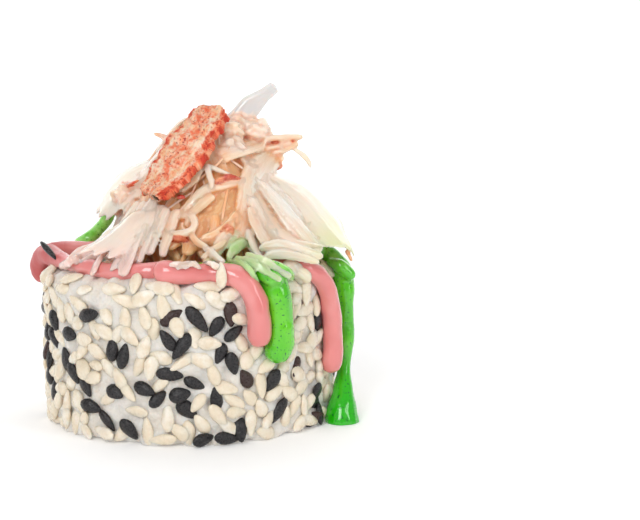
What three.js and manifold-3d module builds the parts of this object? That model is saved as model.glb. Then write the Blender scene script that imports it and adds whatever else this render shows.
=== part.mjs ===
// One slice of an inside-out sushi roll, standing on its flat cut face. A ring of rice set with
// sesame closes round a sheet of nori and the fillings that run through it. Two sauces lie on
// the upper cut face and run down the wall, and a heap of shredded crab sits on top.
// Millimetres, +Z up. The origin is on the roll's axis, on the face that the slice stands on,
// and the side that is seen first faces -Y.
import * as THREE from "three";
import { mergeVertices } from "three/addons/utils/BufferGeometryUtils.js";
import Module from "manifold-3d";

const wasm = await Module();
wasm.setup();

// The roll
const ROLL_RADIUS = 20.2; // rice wall at its fullest, without the seeds
const ROLL_HEIGHT = 21.5;
const RIM_ROUNDING = 2.6; // upper edge of the rice
const FOOT_ROUNDING = 1.3; // lower edge of the rice
const WALL_TUCK = 0.4; // how far the wall draws in at its foot and its rim
const RICE_LUMP = 0.35; // how far lumps stand out of the rice
const RICE_WAVES = [
  { share: 0.4, round: 7, along: 0.8, phase: 0 },
  { share: 0.35, round: 12, along: -1.1, phase: 1 },
  { share: 0.25, round: 5, along: 0.35, phase: 2 },
];
const ROUND_STEPS = 44; // facets round the roll
const CURVE_STEPS = 3; // facets along each curve of the rice's outline
const GAP = 0.3; // left between neighbouring pieces

// What the rice closes round
const NORI_RADIUS = 12.9;
const NORI_THICKNESS = 0.4;
const NORI_LIFT = 0.15; // its cut edge stays clear of the floor
const NORI_WAVE = 0.45; // how far the sheet wanders off its circle
const NORI_WAVES = [
  { share: 0.6, round: 2, along: 0, phase: 0.6 },
  { share: 0.4, round: 5, along: 0, phase: 2 },
];
const FILLING_HEIGHT = ROLL_HEIGHT - 0.4; // the cut fillings sit a little low in the rice

// Sesame on the wall
const SEED_LENGTH = 3.3;
const SEED_WIDTH = 1.9;
const SEED_STANDS_OUT = 0.8;
const SEED_SUNK = 0.3;
const SEED_BACK = 0.66; // its flat back, as a share of its outline
const SEED_TAPER = 0.8; // width near its point, as a share of its fullest
const SEED_COUNT = 144;
const SEED_MARGIN = 1.6; // bare strip at the foot and at the rim
const SEED_SEED = 7; // of the draw that turns them
const GOLDEN_ANGLE = Math.PI * (3 - Math.sqrt(5)); // spreads the seeds evenly up the wall

// The crab heap
const HEAP_CENTRE = [2, 0.6, 24];
const CORE_PROFILE = [[13.4, 0], [12.6, 4], [9.4, 10], [5.6, 15.5], [2.6, 18.4]]; // radius, height
const CORE_CROWN = 0.6; // rise of the crown over the last stop
const HEAP_FOOT = ROLL_HEIGHT + 0.5;
const CORE_STEPS = 18;
const STRIP_THICKNESS = 1.1;
const STRIP_ENDS = 0.45; // width at a strip's ends, as a share of its middle
const STRIP_STEPS = 4;

const colour = (hex, roughness) => new THREE.MeshStandardMaterial({ color: hex, roughness, metalness: 0 });
const MATERIALS = {
  rice: colour(0xe9e4da, 0.55),
  nori: colour(0x1b1f1a, 0.5),
  creamCheese: colour(0xf3efe2, 0.5),
  avocado: colour(0xc3cc55, 0.45),
  crabFilling: colour(0xf1d5cd, 0.45),
  crabShreds: colour(0xf3ded0, 0.4),
  crabFlake: colour(0xe88a66, 0.45),
  pinkSauce: colour(0xe88b8e, 0.25),
  greenSauce: colour(0x5ccb3b, 0.25),
};

// Numbers and places

const DRAW = { factor: 1664525, step: 1013904223, range: 2 ** 32 };

// A seeded draw between 0 and 1, the same on every run.
function seededDraw(seed) {
  let state = seed;
  return () => {
    state = (state * DRAW.factor + DRAW.step) % DRAW.range;
    return state / DRAW.range;
  };
}

const radians = (degrees) => THREE.MathUtils.degToRad(degrees);

// A point given by its angle round the roll in degrees, its radius and its height.
function roundPoint([degrees, radius, height]) {
  const angle = radians(degrees);
  return new THREE.Vector3(radius * Math.cos(angle), radius * Math.sin(angle), height);
}

// The way out of the roll at a point: up over the cut face, sideways off the wall.
function awayFromRoll(point) {
  const radius = Math.hypot(point.x, point.y);
  const inner = Math.min(radius, ROLL_RADIUS - RIM_ROUNDING - 1) / (radius || 1);
  const height = Math.min(point.z, ROLL_HEIGHT - RIM_ROUNDING - 1);
  return point.clone().sub(new THREE.Vector3(point.x * inner, point.y * inner, height)).normalize();
}

const awayFromHeap = (point) => point.clone().sub(new THREE.Vector3(...HEAP_CENTRE)).normalize();

// The sum of some waves at an angle round the roll and a distance along its outline.
function sumOf(waves, angle, distance) {
  return waves.reduce((sum, { share, round, along, phase }) => {
    return sum + share * Math.sin(round * angle + along * distance + phase);
  }, 0);
}

const riceLump = (angle, distance) => RICE_LUMP * sumOf(RICE_WAVES, angle, distance);
const noriWave = (angle) => NORI_WAVE * sumOf(NORI_WAVES, angle, 0);

// Solids and meshes

// A closed geometry as a solid that can be joined and cut.
function solidOf(geometry) {
  const bare = geometry.clone();
  bare.deleteAttribute("normal");
  bare.deleteAttribute("uv");
  const welded = mergeVertices(bare, 1e-3);
  return new wasm.Manifold(
    new wasm.Mesh({
      numProp: 3,
      vertProperties: new Float32Array(welded.attributes.position.array),
      triVerts: new Uint32Array(welded.index.array),
    }),
  );
}

// The largest body of a solid as a named mesh: a cut can leave loose scraps, which are dropped.
function meshOf(solid, name, material) {
  const [body] = solid.decompose().sort((a, b) => b.volume() - a.volume());
  const { vertProperties, triVerts } = body.getMesh();
  const geometry = new THREE.BufferGeometry();
  geometry.setAttribute("position", new THREE.BufferAttribute(vertProperties, 3));
  geometry.setIndex(new THREE.BufferAttribute(triVerts, 1));
  geometry.computeVertexNormals();
  const mesh = new THREE.Mesh(geometry, material);
  mesh.name = name;
  return mesh;
}

// Moves every vertex of a geometry to where the given function says.
function reshape(geometry, place) {
  const position = geometry.attributes.position;
  const vertex = new THREE.Vector3();
  for (let i = 0; i < position.count; i++) {
    vertex.fromBufferAttribute(position, i);
    position.setXYZ(i, ...place(vertex));
  }
  return geometry;
}

// Turns an outline of [radius, height] points round the Z axis.
function turned(outline, steps) {
  const points = outline.map(([radius, height]) => new THREE.Vector2(radius, height));
  return new THREE.LatheGeometry(points, steps).rotateX(Math.PI / 2);
}

// Bends a unit geometry along a route. Its x and y, from -1 to 1, become the width and the
// thickness there, its z, from 0 to 1, the distance along, and its y faces the given way.
function follow(unit, route, sizes, away) {
  return reshape(unit, ({ x, y, z }) => {
    const centre = route.getPoint(z);
    const tangent = route.getTangent(z);
    const across = away(centre).cross(tangent).normalize();
    const outward = tangent.clone().cross(across);
    const size = sizes.getPoint(z);
    return centre.addScaledVector(across, x * size.x).addScaledVector(outward, y * size.y);
  });
}

const curveThrough = (points) => new THREE.CatmullRomCurve3(points, false, "centripetal");

// Rice

// The outer outline of the rice from its foot, up the wall and over the rim to the inner edge.
function riceOutline(growOut, growUp) {
  const path = new THREE.Path();
  const wall = ROLL_RADIUS + growOut;
  const top = ROLL_HEIGHT + growUp;
  const inner = NORI_RADIUS + GAP;
  const tucked = wall - WALL_TUCK;
  path.moveTo(inner, 0);
  path.lineTo(tucked - FOOT_ROUNDING, 0);
  path.quadraticCurveTo(tucked, 0, tucked, FOOT_ROUNDING);
  path.quadraticCurveTo(wall + WALL_TUCK, ROLL_HEIGHT / 2, tucked, top - RIM_ROUNDING);
  path.quadraticCurveTo(tucked, top, tucked - RIM_ROUNDING, top);
  path.lineTo((wall - RIM_ROUNDING + inner) / 2, top);
  path.lineTo(inner, top);
  return path.getPoints(CURVE_STEPS).map((point) => [point.x, point.y]);
}

// The radius of the smooth wall at a height.
function wallRadius(height) {
  const outline = riceOutline(0, 0);
  const next = outline.findIndex(([, level]) => level > height);
  const [below, above] = [outline[next - 1], outline[next]];
  return THREE.MathUtils.mapLinear(height, below[1], above[1], below[0], above[0]);
}

// Gives the turned rice its lumps, and its inner wall the waves of the nori. The foot stays flat.
function withLumps(geometry) {
  return reshape(geometry, ({ x, y, z }) => {
    const angle = Math.atan2(y, x);
    const radius = Math.hypot(x, y);
    const isInner = radius < NORI_RADIUS + 2 * GAP;
    const isFoot = z < FOOT_ROUNDING / 2;
    const lump = isInner || isFoot ? 0 : riceLump(angle, z + ROLL_RADIUS - radius);
    const onWall = THREE.MathUtils.clamp((ROLL_HEIGHT - z) / RIM_ROUNDING, 0, 1);
    const moved = radius + (isInner ? noriWave(angle) : lump * onWall);
    const stretch = radius > GAP ? moved / radius : 1;
    return [x * stretch, y * stretch, z + lump * (1 - onWall)];
  });
}

// The ring of rice. Its inner wall keeps clear of the nori.
function riceRing() {
  const outline = riceOutline(0, 0);
  return solidOf(withLumps(turned([...outline, outline[0]], ROUND_STEPS)));
}

// The whole roll without its hole, grown a little, to cut back what lies on it.
function grownRoll(growOut, growUp) {
  const outline = riceOutline(growOut, growUp);
  const topMiddle = [0, ROLL_HEIGHT + growUp];
  return solidOf(withLumps(turned([[0, 0], ...outline, topMiddle], ROUND_STEPS)));
}

// A teardrop seed with its flat side down, its length along X and its back along Y.
function seedGeometry() {
  const [long, wide] = [SEED_LENGTH / 2, SEED_WIDTH / 2];
  const slim = SEED_TAPER * wide;
  const side = [[-long / 2, -wide], [long / 3, -slim]];
  const otherSide = side.map(([x, y]) => [x, -y]).reverse();
  const outline = field([[-long, 0], ...side, [long, 0], ...otherSide]);
  const slab = new THREE.ExtrudeGeometry(outline, { depth: 1, bevelEnabled: false }).rotateX(-Math.PI / 2);
  return reshape(slab, ({ x, y, z }) =>
    y > 0.5 ? [x * SEED_BACK, SEED_STANDS_OUT, z * SEED_BACK] : [x, -SEED_SUNK, z],
  );
}

// Seeds spread evenly over the wall, left out wherever a sauce runs.
function seeds(sauceRoutes) {
  const draw = seededDraw(SEED_SEED);
  const placed = [];
  for (let i = 0; i < SEED_COUNT; i++) {
    const angle = i * GOLDEN_ANGLE;
    const height = SEED_MARGIN + ((i + 0.5) / SEED_COUNT) * (ROLL_HEIGHT - SEED_MARGIN - RIM_ROUNDING);
    const turn = draw() * Math.PI * 2;
    const out = new THREE.Vector3(Math.cos(angle), Math.sin(angle), 0);
    const place = out.clone().multiplyScalar(wallRadius(height) + riceLump(angle, height)).setZ(height);
    if (sauceRoutes.some((route) => nearRoute(place, route))) continue;
    const level = new THREE.Vector3(-out.y, out.x, 0);
    const long = level.multiplyScalar(Math.cos(turn)).setZ(Math.sin(turn));
    const frame = new THREE.Matrix4().makeBasis(long, out, long.clone().cross(out)).setPosition(place);
    placed.push(solidOf(seedGeometry().applyMatrix4(frame)));
  }
  return placed;
}

// True where a seed would touch the sauce on that route.
function nearRoute(place, { route, sizes }) {
  const steps = 40;
  for (let i = 0; i <= steps; i++) {
    const reach = sizes.getPoint(i / steps).x + SEED_LENGTH / 2 + GAP;
    if (route.getPoint(i / steps).distanceTo(place) < reach) return true;
  }
  return false;
}

// Nori and fillings

// A closed loop that follows the nori at a distance inside it.
function noriLoop(inset) {
  const loop = new THREE.Shape();
  for (let i = 0; i < ROUND_STEPS; i++) {
    const angle = (i / ROUND_STEPS) * Math.PI * 2;
    const radius = NORI_RADIUS + noriWave(angle) - inset;
    const [x, y] = [radius * Math.cos(angle), radius * Math.sin(angle)];
    i ? loop.lineTo(x, y) : loop.moveTo(x, y);
  }
  loop.closePath();
  return loop;
}

// A shape of the cut face drawn up to a height.
function upright(shape, height) {
  return solidOf(new THREE.ExtrudeGeometry(shape, { depth: height, bevelEnabled: false }));
}

function nori() {
  const sheet = noriLoop(0);
  sheet.holes.push(noriLoop(NORI_THICKNESS));
  return upright(sheet, FILLING_HEIGHT - NORI_LIFT).translate(0, 0, NORI_LIFT);
}

// A many-sided field of the cut face, given by its corners.
const field = (corners) => new THREE.Shape(corners.map(([x, y]) => new THREE.Vector2(x, y)));

// The fields of the cut face, each inside the nori and clear of the others.
const AVOCADO_CORNERS = [
  [[-1.6, 5.6], [3.2, 6.4], [3.0, 9.6], [1.2, 14], [-1.0, 14]],
  [[3.6, 6.5], [7.6, 5.0], [10.4, 6.2], [8.0, 12], [3.5, 12.4], [3.4, 9.6]],
];
const SEAM = [[-14, -1.6], [-8, -0.6], [-3, 1.4], [2.4, 2.2], [4.2, 5.2], [14, 2.6]]; // cheese over crab
const CHEESE_CORNERS = [...SEAM, [14, 14], [-14, 14]];
const CRAB_CORNERS = [...SEAM.map(([x, y]) => [x + GAP / 2, y - 1.2 * GAP]), [14, -14], [-14, -14]];

function fillings() {
  const inside = upright(noriLoop(NORI_THICKNESS + GAP), FILLING_HEIGHT);
  const fill = (shape) => upright(shape, FILLING_HEIGHT).intersect(inside);
  const room = AVOCADO_CORNERS.map((corners) => upright(widened(corners), FILLING_HEIGHT + 1));
  return {
    avocado: AVOCADO_CORNERS.map((corners) => fill(field(corners))),
    cheese: room.reduce((rest, cut) => rest.subtract(cut), fill(field(CHEESE_CORNERS))),
    crab: fill(field(CRAB_CORNERS)),
  };
}

const CORNER_GAP = 1.3 * GAP; // moves a corner so that its sides clear by the gap

// The same field with every corner moved out from its middle.
function widened(corners) {
  const points = corners.map(([x, y]) => new THREE.Vector2(x, y));
  const sum = points.reduce((total, point) => total.add(point), new THREE.Vector2());
  const middle = sum.divideScalar(points.length);
  const moved = points.map((point) => {
    const out = point.clone().sub(middle);
    return out.setLength(out.length() + CORNER_GAP).add(middle);
  });
  return new THREE.Shape(moved);
}

// Sauces

// Each stop is an angle in degrees, a radius, a height, half the width and half the thickness.
// A run goes over the upper face, round the rim and down the wall, to a rounded tip.
const PINK_LONG = [
  [-66, 21.4, 13.4, 1.6, 1.2], [-66.5, 21.5, 16.6, 1.7, 1.3], [-69, 21.3, 20.3, 1.6, 1.2],
  [-74, 19.8, 22.5, 1.5, 1.2], [-84, 18.4, 22.8, 1.5, 1.2], [-98, 17.8, 22.8, 1.4, 1.2],
  [-113, 17.4, 22.8, 1.3, 1.2], [-130, 17.4, 22.8, 1.3, 1.2], [-150, 17.8, 22.8, 1.3, 1.2],
  [-169, 18.6, 22.9, 1.4, 1.3], [-183, 20.2, 22.5, 1.6, 1.4], [-189, 21.4, 20.6, 1.7, 1.4],
  [-190, 21.4, 18.9, 1.5, 1.2],
];
const PINK_INWARD = [
  [-184, 19.4, 22.9, 1.2, 1.2], [-190, 16.5, 22.9, 1.3, 1.2], [-196, 13.5, 22.9, 1.2, 1.1],
];
const PINK_SIDE = [
  [-52, 14.5, 22.6, 1.1, 1], [-47, 17.2, 22.8, 1.2, 1.1], [-38, 20, 22.2, 1.3, 1.2],
  [-30, 21.4, 19.6, 1.4, 1.2], [-27, 21.5, 15, 1.4, 1.2], [-26, 21.4, 10, 1.5, 1.2],
  [-26, 21.3, 7.4, 1.3, 1.1],
];
const PINK_BACK = [
  [58, 12.5, 22.6, 1.1, 1], [48, 16.5, 22.8, 1.3, 1.2], [40, 19.8, 22.3, 1.4, 1.2],
  [36, 21.4, 19.4, 1.5, 1.2], [34, 21.4, 15, 1.5, 1.3], [34, 21.2, 12.2, 1.3, 1.1],
];
const GREEN_FRONT = [
  [-72, 12.8, 22.6, 1.6, 1], [-66, 16, 22.8, 2, 1.2], [-60.5, 19.4, 22.6, 1.9, 1.2],
  [-58.5, 21.4, 20.2, 1.7, 1.2], [-57, 21.5, 16, 1.6, 1.2], [-57, 21.5, 12.6, 1.9, 1.4],
  [-58.5, 21.3, 10.4, 1.6, 1.2],
];
const GREEN_STREAM = [
  [-4, 14, 22.6, 1.4, 1], [-7, 17.5, 22.8, 1.7, 1.2], [-10, 20.4, 22.2, 1.6, 1.2],
  [-12, 21.6, 19.4, 1.3, 1.1], [-14, 21.7, 12, 1.2, 1.1], [-15.5, 21.8, 5.6, 1.1, 1.1],
  [-16, 22, 3.4, 1.5, 1.5], [-16.5, 22.3, 1.4, 2.2, 2.1], [-16.5, 22.4, -0.8, 2.5, 2.4],
];
const GREEN_BACK = [
  [158, 16, 22.7, 1.5, 1.1], [143, 16.6, 22.8, 1.6, 1.2], [125, 17, 22.8, 1.5, 1.2],
  [108, 18.4, 22.7, 1.6, 1.2], [98, 20.6, 21.8, 1.6, 1.2], [95, 21.5, 18.4, 1.5, 1.2],
  [94, 21.4, 13, 1.7, 1.3], [94, 21.2, 10.6, 1.4, 1.1],
];
const SAUCE_SIDES = 8;
const ROWS_PER_STOP = 1.5;
const END_FULLNESS = 3; // how soon a run reaches its full width behind its rounded tip

function sauceRun(stops) {
  return {
    route: curveThrough(stops.map(roundPoint)),
    sizes: curveThrough(stops.map(([, , , half, thick]) => new THREE.Vector3(half, thick, 0))),
    rows: Math.round(stops.length * ROWS_PER_STOP),
  };
}

// A sphere drawn out to a bead of unit length, full all along but for its two round ends.
function bead(rows) {
  const ball = new THREE.SphereGeometry(1, SAUCE_SIDES, rows).rotateX(Math.PI / 2);
  return reshape(ball, ({ x, y, z }) => {
    const ring = Math.hypot(x, y);
    const full = ring > 1e-6 ? Math.min(1, ring * END_FULLNESS) / ring : 0;
    return [x * full, y * full, (1 + z) / 2];
  });
}

// The sauce of one run. A grown copy is thicker all round, to cut back what lies on it.
function sauce({ route, sizes, rows }, grow = 0) {
  const unit = bead(rows);
  const grown = { getPoint: (t) => sizes.getPoint(t).addScalar(grow) };
  return solidOf(follow(unit, route, grown, awayFromRoll));
}

// Crab

// A strip of crab along a route, thin at both ends. Width is its full width at the middle.
function strip({ route, width, thickness = STRIP_THICKNESS, ends = STRIP_ENDS }, grow = 0) {
  const unit = new THREE.BoxGeometry(2, 2, 1, 1, 1, STRIP_STEPS).translate(0, 0, 0.5);
  const curve = curveThrough(route.map((point) => new THREE.Vector3(...point)));
  const sizes = {
    getPoint: (t) => {
      const belly = ends + (1 - ends) * Math.sin(Math.PI * t);
      return new THREE.Vector3((belly * width) / 2 + grow, (belly * thickness) / 2 + grow, 0);
    },
  };
  return solidOf(follow(unit, curve, sizes, awayFromHeap));
}

// The flake of crab with its orange skin, lying on the front of the heap.
const FLAKE = {
  route: [[4.6, -1.6, 43.2], [1.8, -5.2, 39.6], [-1.2, -8.4, 36.2], [-5.4, -10.8, 31.6]],
  width: 7.2,
  thickness: 2.2,
  ends: 0.72,
};

// The strips that give the heap its outline, as they lie.
const STRIPS = [
  { route: [[3, 2, 38], [8, 1.6, 43], [12.4, 2, 46.8]], width: 3 },
  { route: [[3, 1.6, 39], [7.4, 1.2, 40.4], [11.2, 1.6, 39.4]], width: 4.4 },
  {
    route: [[14.8, -1, 38.6], [10.9, -4, 37.4], [8.5, -8, 34.3], [7.3, -11, 30.5], [6.6, -13, 26.8]],
    width: 4.6,
  },
  { route: [[7, -4, 36.4], [4.6, -7.4, 32.6], [1.6, -9.6, 29.8], [-1.5, -10, 28.4]], width: 6 },
  { route: [[8, -3, 35], [12.2, -8, 30.4], [14.7, -11.6, 27.4], [16.6, -13, 25]], width: 2.6 },
  { route: [[8, -2, 33.5], [12.8, -7, 29], [15.4, -10, 26.6], [18, -11, 24.6]], width: 2.4 },
  { route: [[7, -7, 30.5], [8.4, -12, 27], [9.4, -15, 24.8], [10.2, -17, 24]], width: 1.7 },
  { route: [[15.6, -7, 26.8], [12.7, -12, 26], [10.4, -14.4, 25], [8, -15.4, 24.6]], width: 2.8 },
  { route: [[-4, -6, 33.6], [-7.5, -11, 29.3], [-9, -13.6, 26.4], [-10.4, -15.6, 24.4]], width: 3 },
  { route: [[-3, -7, 32], [-6.4, -13, 27.8], [-8, -15.8, 25.6], [-9.2, -18.4, 23.6]], width: 2.8 },
  { route: [[-5, -6, 29], [-10.8, -11.8, 26], [-13.8, -13, 25], [-17.2, -12.2, 23.9]], width: 3.2 },
  { route: [[-1, -7, 30], [-5.2, -13, 26.8], [-7, -15, 25.4]], width: 2.4 },
  {
    route: [[-3, -9, 27.4], [-2.3, -12.6, 29], [0.1, -13, 29.4], [0.8, -12.6, 27.6], [-1.2, -12, 26.2]],
    width: 1.8,
  },
  { route: [[-2, -5, 35], [-5.6, -7.4, 33.6], [-9.4, -7, 32.4], [-11.2, -6, 30.8]], width: 2.4 },
  { route: [[8, -0.5, 37], [15.4, 0.6, 37.2], [17.4, 1, 34.4]], width: 1.8 },
  { route: [[1, 1, 37.4], [-2.6, -0.6, 38.4], [-5.2, -1.4, 39.6]], width: 2.2 },
  { route: [[0, -9, 27], [3.3, -13, 27.4], [6.4, -13, 26.6]], width: 2.2 },
];

// Broad sheets hang from the heap, two on the right that share an edge and one at the back on the
// left. Each is given by two edges that run down: seen from outside, the left one and the right one.
const SHARED_EDGE = [
  [9.1, -6, 32.6], [11, -7.5, 30.4], [12.8, -9, 28.2],
  [14.4, -10.5, 26.4], [16, -11.5, 25.2], [19, -10.6, 24.6],
];
const SHEETS = [
  [
    SHARED_EDGE,
    [
      [10.3, 0, 33.6], [13.9, 0.5, 33.3], [16.6, 0.5, 32.1],
      [18.9, -0.5, 30.2], [20.7, -2, 27.9], [22, -4, 25.4],
    ],
  ],
  [
    [
      [7.9, -9, 31], [8.1, -11, 28.5], [8.8, -13, 26.4],
      [10.4, -14, 25.2], [12.6, -14.2, 24.8], [16, -13.6, 24.6],
    ],
    SHARED_EDGE,
  ],
  [
    [
      [-2.3, 2, 37.1], [-6.2, 3, 35.7], [-9.2, 3, 34.1],
      [-11.3, 2.5, 32], [-12.7, 2, 29.5], [-13.4, 1, 27.8],
    ],
    [
      [-2.9, -4, 33.6], [-5.3, -5, 32.4], [-7, -5, 31.1],
      [-8.6, -4.5, 29.9], [-10.1, -4, 28.7], [-11.5, -3, 27.4],
    ],
  ],
];
const SHEET_STEPS = { across: 3, along: 6 };
const SHEET_BULGE = 0.8; // of a sheet's middle over the straight line between its edges

// A sheet of crab between two edges, as thick as a strip.
function sheet(edges) {
  const { across, along } = SHEET_STEPS;
  const unit = new THREE.BoxGeometry(1, 1, 1, across, 1, along).translate(0.5, 0, 0.5);
  const [left, right] = edges.map((edge) => curveThrough(edge.map((point) => new THREE.Vector3(...point))));
  const hung = reshape(unit, ({ x, y, z }) => {
    const place = left.getPoint(z).lerp(right.getPoint(z), x);
    const lift = SHEET_BULGE * Math.sin(Math.PI * x) + STRIP_THICKNESS * y;
    return place.addScaledVector(awayFromHeap(place), lift);
  });
  return solidOf(hung);
}

// Other strips lie down the slope of the heap, each swept a little to one side. Angles are in
// degrees, near and far give the least radius that a strip starts and ends at and how much more
// it may be.
const SLOPE_STRIPS = [
  { count: 11, from: 14, to: 172, near: [2.5, 4], far: [12.6, 4.6], seed: 23 },
  { count: 5, from: -62, to: 14, near: [3, 3], far: [12, 3.6], seed: 41 },
  { count: 3, from: 172, to: 236, near: [3, 3], far: [12, 3.6], seed: 3 },
  { count: 3, from: 40, to: 200, near: [0.5, 1.5], far: [6, 4], seed: 5 },
];
const SWEEP = 90; // degrees between the two ends of the strip that is swept furthest
const LIFT = { least: 0.3, more: 0.9 }; // of a strip over the core
const WIDTH = { least: 2, more: 2.4 };

// A strip down the slope of the core from one radius to another.
function slopeStrip(angle, sweep, [near, far], lift, width) {
  const [cx, cy] = HEAP_CENTRE;
  const route = [0, 1 / 3, 2 / 3, 1].map((share) => {
    const radius = near + share * (far - near);
    const height = HEAP_FOOT + coreHeight(radius) + lift * (1 + share * (1 - share));
    const place = roundPoint([angle + sweep * (share - 1), radius, height]);
    return [place.x + cx, place.y + cy, place.z];
  });
  return { route, width };
}

// Strips spread evenly between two angles.
function spreadStrips({ count, from, to, near, far, seed }) {
  const draw = seededDraw(seed);
  return Array.from({ length: count }, (_, i) => {
    const angle = from + ((i + 0.5) / count) * (to - from);
    const reach = [near[0] + draw() * near[1], far[0] + draw() * far[1]];
    const sweep = (draw() - 0.5) * SWEEP;
    const lift = LIFT.least + draw() * LIFT.more;
    return slopeStrip(angle, sweep, reach, lift, WIDTH.least + draw() * WIDTH.more);
  });
}

// The lump of crab that the strips lie on.
function heapCore() {
  const [cx, cy] = HEAP_CENTRE;
  const profile = CORE_PROFILE.map(([radius, height]) => [radius, HEAP_FOOT + height]);
  const crown = HEAP_FOOT + coreHeight(0);
  const core = turned([[0, HEAP_FOOT], ...profile, [0, crown]], CORE_STEPS);
  return solidOf(core.translate(cx, cy, 0));
}

// The height of the core over its foot at a radius, falling straight between its stops.
function coreHeight(radius) {
  const next = CORE_PROFILE.findIndex(([stop]) => stop < radius);
  if (next === 0) return CORE_PROFILE[0][1];
  if (next < 0) return CORE_PROFILE.at(-1)[1] + CORE_CROWN * (1 - radius / CORE_PROFILE.at(-1)[0]);
  const [outer, inner] = [CORE_PROFILE[next - 1], CORE_PROFILE[next]];
  return THREE.MathUtils.mapLinear(radius, outer[0], inner[0], outer[1], inner[1]);
}

// Assembly

const pinkRuns = [PINK_LONG, PINK_INWARD, PINK_SIDE, PINK_BACK].map(sauceRun);
const greenRuns = [GREEN_FRONT, GREEN_STREAM, GREEN_BACK].map(sauceRun);
const [pinkLong, pinkInward, pinkSide, pinkBack] = pinkRuns;
const rollWithRoom = grownRoll(GAP, GAP);
const pinkRoom = wasm.Manifold.union(pinkRuns.map((run) => sauce(run, GAP)));
const greenRoom = wasm.Manifold.union(greenRuns.map((run) => sauce(run, GAP)));
const { avocado, cheese, crab } = fillings();

const strips = [...STRIPS, ...SLOPE_STRIPS.flatMap(spreadStrips)];
const heap = wasm.Manifold.union([heapCore(), ...SHEETS.map(sheet), ...strips.map((piece) => strip(piece))])
  .subtract(grownRoll(GAP + SEED_STANDS_OUT, GAP))
  .subtract(pinkRoom)
  .subtract(greenRoom)
  .subtract(strip(FLAKE, GAP));

const rice = wasm.Manifold.union([riceRing(), ...seeds([...pinkRuns, ...greenRuns])]);

const underFloor = solidOf(new THREE.BoxGeometry(4 * ROLL_RADIUS, 4 * ROLL_RADIUS, ROLL_HEIGHT))
  .translate(0, 0, -ROLL_HEIGHT / 2);
const lyingOn = (solid) => solid.subtract(rollWithRoom).subtract(underFloor);

const group = new THREE.Group();
group.add(
  meshOf(rice, "rice", MATERIALS.rice),
  meshOf(nori(), "nori", MATERIALS.nori),
  meshOf(cheese, "cream_cheese", MATERIALS.creamCheese),
  ...avocado.map((solid, i) => meshOf(solid, `avocado_${i + 1}`, MATERIALS.avocado)),
  meshOf(crab, "crab_filling", MATERIALS.crabFilling),
  meshOf(lyingOn(sauce(pinkLong).add(sauce(pinkInward))), "pink_sauce_long", MATERIALS.pinkSauce),
  meshOf(lyingOn(sauce(pinkSide)), "pink_sauce_side", MATERIALS.pinkSauce),
  meshOf(lyingOn(sauce(pinkBack)), "pink_sauce_back", MATERIALS.pinkSauce),
  ...["front", "stream", "back"].map((name, i) =>
    meshOf(lyingOn(sauce(greenRuns[i])).subtract(pinkRoom), `green_sauce_${name}`, MATERIALS.greenSauce),
  ),
  meshOf(heap, "crab_heap", MATERIALS.crabShreds),
  meshOf(strip(FLAKE), "crab_flake", MATERIALS.crabFlake),
);

export default group;
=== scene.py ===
import math
import random

import bpy
import numpy as np
from mathutils import Euler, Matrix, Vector, noise
from mathutils.bvhtree import BVHTree
from mathutils.kdtree import KDTree


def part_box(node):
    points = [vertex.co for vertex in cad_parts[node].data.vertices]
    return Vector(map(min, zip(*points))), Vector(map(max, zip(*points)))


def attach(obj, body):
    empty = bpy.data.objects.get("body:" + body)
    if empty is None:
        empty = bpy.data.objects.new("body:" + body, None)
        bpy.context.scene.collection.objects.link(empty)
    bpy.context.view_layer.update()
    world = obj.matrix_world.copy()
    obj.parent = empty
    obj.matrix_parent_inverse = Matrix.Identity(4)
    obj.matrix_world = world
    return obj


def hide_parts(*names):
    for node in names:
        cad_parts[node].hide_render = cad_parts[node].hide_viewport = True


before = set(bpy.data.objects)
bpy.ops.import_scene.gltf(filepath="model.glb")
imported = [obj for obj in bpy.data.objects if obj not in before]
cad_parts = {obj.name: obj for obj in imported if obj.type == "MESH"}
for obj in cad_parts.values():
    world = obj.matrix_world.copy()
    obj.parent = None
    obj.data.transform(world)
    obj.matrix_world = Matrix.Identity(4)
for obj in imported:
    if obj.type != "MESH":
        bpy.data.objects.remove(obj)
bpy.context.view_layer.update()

mm = 0.001  # sizes below are in millimetres, meshes in metres

# Driving sizes, read from the solids
seedReach = 0.8  # how far sesame stands out of the rice
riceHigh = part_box("rice")[1] / mm
noriLow, noriHigh = (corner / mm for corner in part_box("nori"))
rollRadius = riceHigh.x - seedReach - 0.2
rollHeight = noriHigh.z + 0.4
holeRadius = (noriHigh.x - noriLow.x) / 2 + 0.1


# Small helpers for working as by hand

def deselectAll():
    if bpy.context.mode != "OBJECT":
        bpy.ops.object.mode_set(mode="OBJECT")
    bpy.ops.object.select_all(action="DESELECT")


def activate(*pieces):
    deselectAll()
    for piece in pieces:
        piece.select_set(True)
    bpy.context.view_layer.objects.active = pieces[0]


def editSelected(piece, mode, parts, test):  # into edit mode with some faces, edges or points selected
    activate(piece)
    bpy.ops.object.mode_set(mode="EDIT")
    bpy.ops.mesh.select_mode(type=mode)
    bpy.ops.mesh.select_all(action="DESELECT")
    bpy.ops.object.mode_set(mode="OBJECT")
    for part in getattr(piece.data, parts):
        part.select = test(part)
    bpy.ops.object.mode_set(mode="EDIT")


def editFaces(piece, test):
    editSelected(piece, "FACE", "polygons", lambda face: test(face.center / mm, face.normal))


def editEdges(piece, test):
    points = piece.data.vertices
    editSelected(piece, "EDGE", "edges", lambda edge: all(test(points[i].co / mm) for i in edge.vertices))


def editPoints(piece, test):
    editSelected(piece, "VERT", "vertices", lambda point: test(point.co / mm))


def applyModifier(piece, kind, **settings):
    activate(piece)
    made = piece.modifiers.new(kind, kind)
    for name, value in settings.items():
        setattr(made, name, value)
    bpy.ops.object.modifier_apply(modifier=made.name)


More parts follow.
